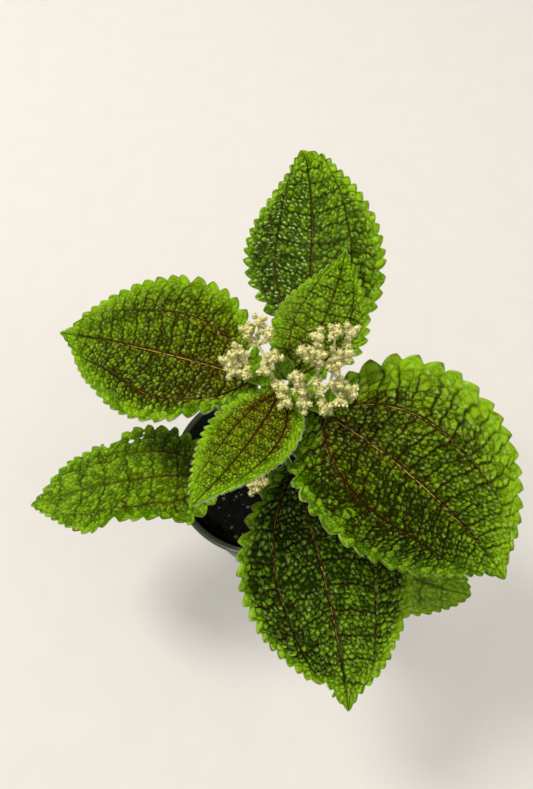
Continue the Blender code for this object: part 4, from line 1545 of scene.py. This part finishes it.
# %% Make the potting mix
MIX_CLEARANCE = 0.6
MIX_GAP = 0.3
MIX_STEPS = 96
MIX_SEED = 7
CRUMBS = 900
PERLITE_SHARE, LARGE_SHARE, PALE_AND_BARK_SHARE = 0.06, 0.07, 0.10


def make_mix():
    random = np.random.default_rng(MIX_SEED)
    top, bottom = (wall_radius(z) - WALL - MIX_CLEARANCE for z in (MIX_TOP, FLOOR))
    profile = [(0.0, MIX_TOP)] + [(top * share, MIX_TOP) for share in np.linspace(0.02, 1.0, 46)]
    profile += [(bottom, FLOOR + MIX_GAP), (0.0, FLOOR + MIX_GAP)]
    points, faces = turned(profile, MIX_STEPS)
    points = [(x, y, mix_height(x, y, top) if z > MIX_TOP - 1 else z) for x, y, z in points]
    skin = Skin("pale", "bark")
    skin.add(points, faces)
    for _ in range(CRUMBS):
        radius, angle = top * math.sqrt(random.random()) * 0.97, random.uniform(0, 2 * math.pi)
        x, y = radius * math.cos(angle), radius * math.sin(angle)
        kind = random.random()
        size = random.uniform(0.35, 0.95) * (1.35 if kind < LARGE_SHARE else 1.0)
        shape, shape_faces = lump_shape(random)
        stretch = np.array([1.0, random.uniform(0.5, 1.0), random.uniform(0.5, 0.9)])
        place = (shape * stretch * size) @ turned_to(random.normal(size=3)).T
        place = place + (x, y, mix_height(x, y, top) + size * 0.2)
        pale = kind < PERLITE_SHARE
        bark = not pale and kind < PALE_AND_BARK_SHARE
        skin.add(place, shape_faces, pale=float(pale), bark=float(bark))
    skin.make("potting_mix_body", make_mix_material(), "potting_mix")


make_mix()

# %% [markdown]
# ## Floor and light
# The plant stands on a plain pale floor that glows a little by itself, so that its shadows stay
# soft. A large soft light from the upper left works like a window and a weaker one fills the
# right. Both are left out of reflections: two small lights, which show only there, give each cell
# of the quilt its glint.

# %% Make the floor, the lights and the surroundings
FLOOR_REACH = 3.0
FLOOR_COLOUR = (0.42, 0.40, 0.365)
FLOOR_GLOW = (1.0, 0.955, 0.875)
PLANT_MIDDLE = Vector((0.0, 0.0, 0.13))
WARM = (1.0, 0.98, 0.95)
COOL = (0.92, 1.0, 1.0)
LIGHTS = (
    ("window", (-0.8, 0.5, 1.5), (0.4, 0.5), 27.0, WARM, False),
    ("room", (0.8, -0.3, 1.2), (1.0, 1.0), 5.0, WARM, False),
    ("glints", (-0.18, -0.50, 0.72), (0.08, 0.10), 4.5, COOL, True),
    ("pane", (-0.70, -0.05, 0.80), (0.10, 0.12), 1.2, COOL, True),
)


def make_floor():
    ground = Finish("pale_floor", 0.9, 0.2)
    _, drift = ground.grain(400.0)
    warmer = tuple(c * 0.97 for c in FLOOR_COLOUR)
    ground.set("Base Color", ground.blend(drift, FLOOR_COLOUR, warmer))
    ground.set("Emission Color", FLOOR_GLOW)
    ground.set("Emission Strength", 0.36)
    mesh = bpy.data.meshes.new("floor")
    corners = [(-1, -1, 0), (1, -1, 0), (1, 1, 0), (-1, 1, 0)]
    corners = [Vector(corner) * FLOOR_REACH for corner in corners]
    mesh.from_pydata(corners, [], [(0, 1, 2, 3)])
    mesh.materials.append(ground.material)
    add_object("floor", mesh)


make_floor()
for name, place, size, power, colour, reflected in LIGHTS:
    light = bpy.data.lights.new(name, "AREA")
    light.shape = "RECTANGLE"
    light.size, light.size_y = size
    light.energy, light.color = power, colour
    made = add_object(name, light)
    made.location = place
    made.rotation_euler = (PLANT_MIDDLE - made.location).to_track_quat("-Z", "Y").to_euler()
    made.visible_diffuse, made.visible_glossy = not reflected, reflected
world = bpy.data.worlds.new("surroundings")
scene.world = world
world.use_nodes = True
sky = world.node_tree.nodes["Background"]
sky.inputs["Color"].default_value = (*WARM, 1.0)
sky.inputs["Strength"].default_value = 0.40
world.cycles_visibility.glossy = False

# %% [markdown]
# ## The last measure
# Teeth, hairs and petals reach a little further than the plain solids do.
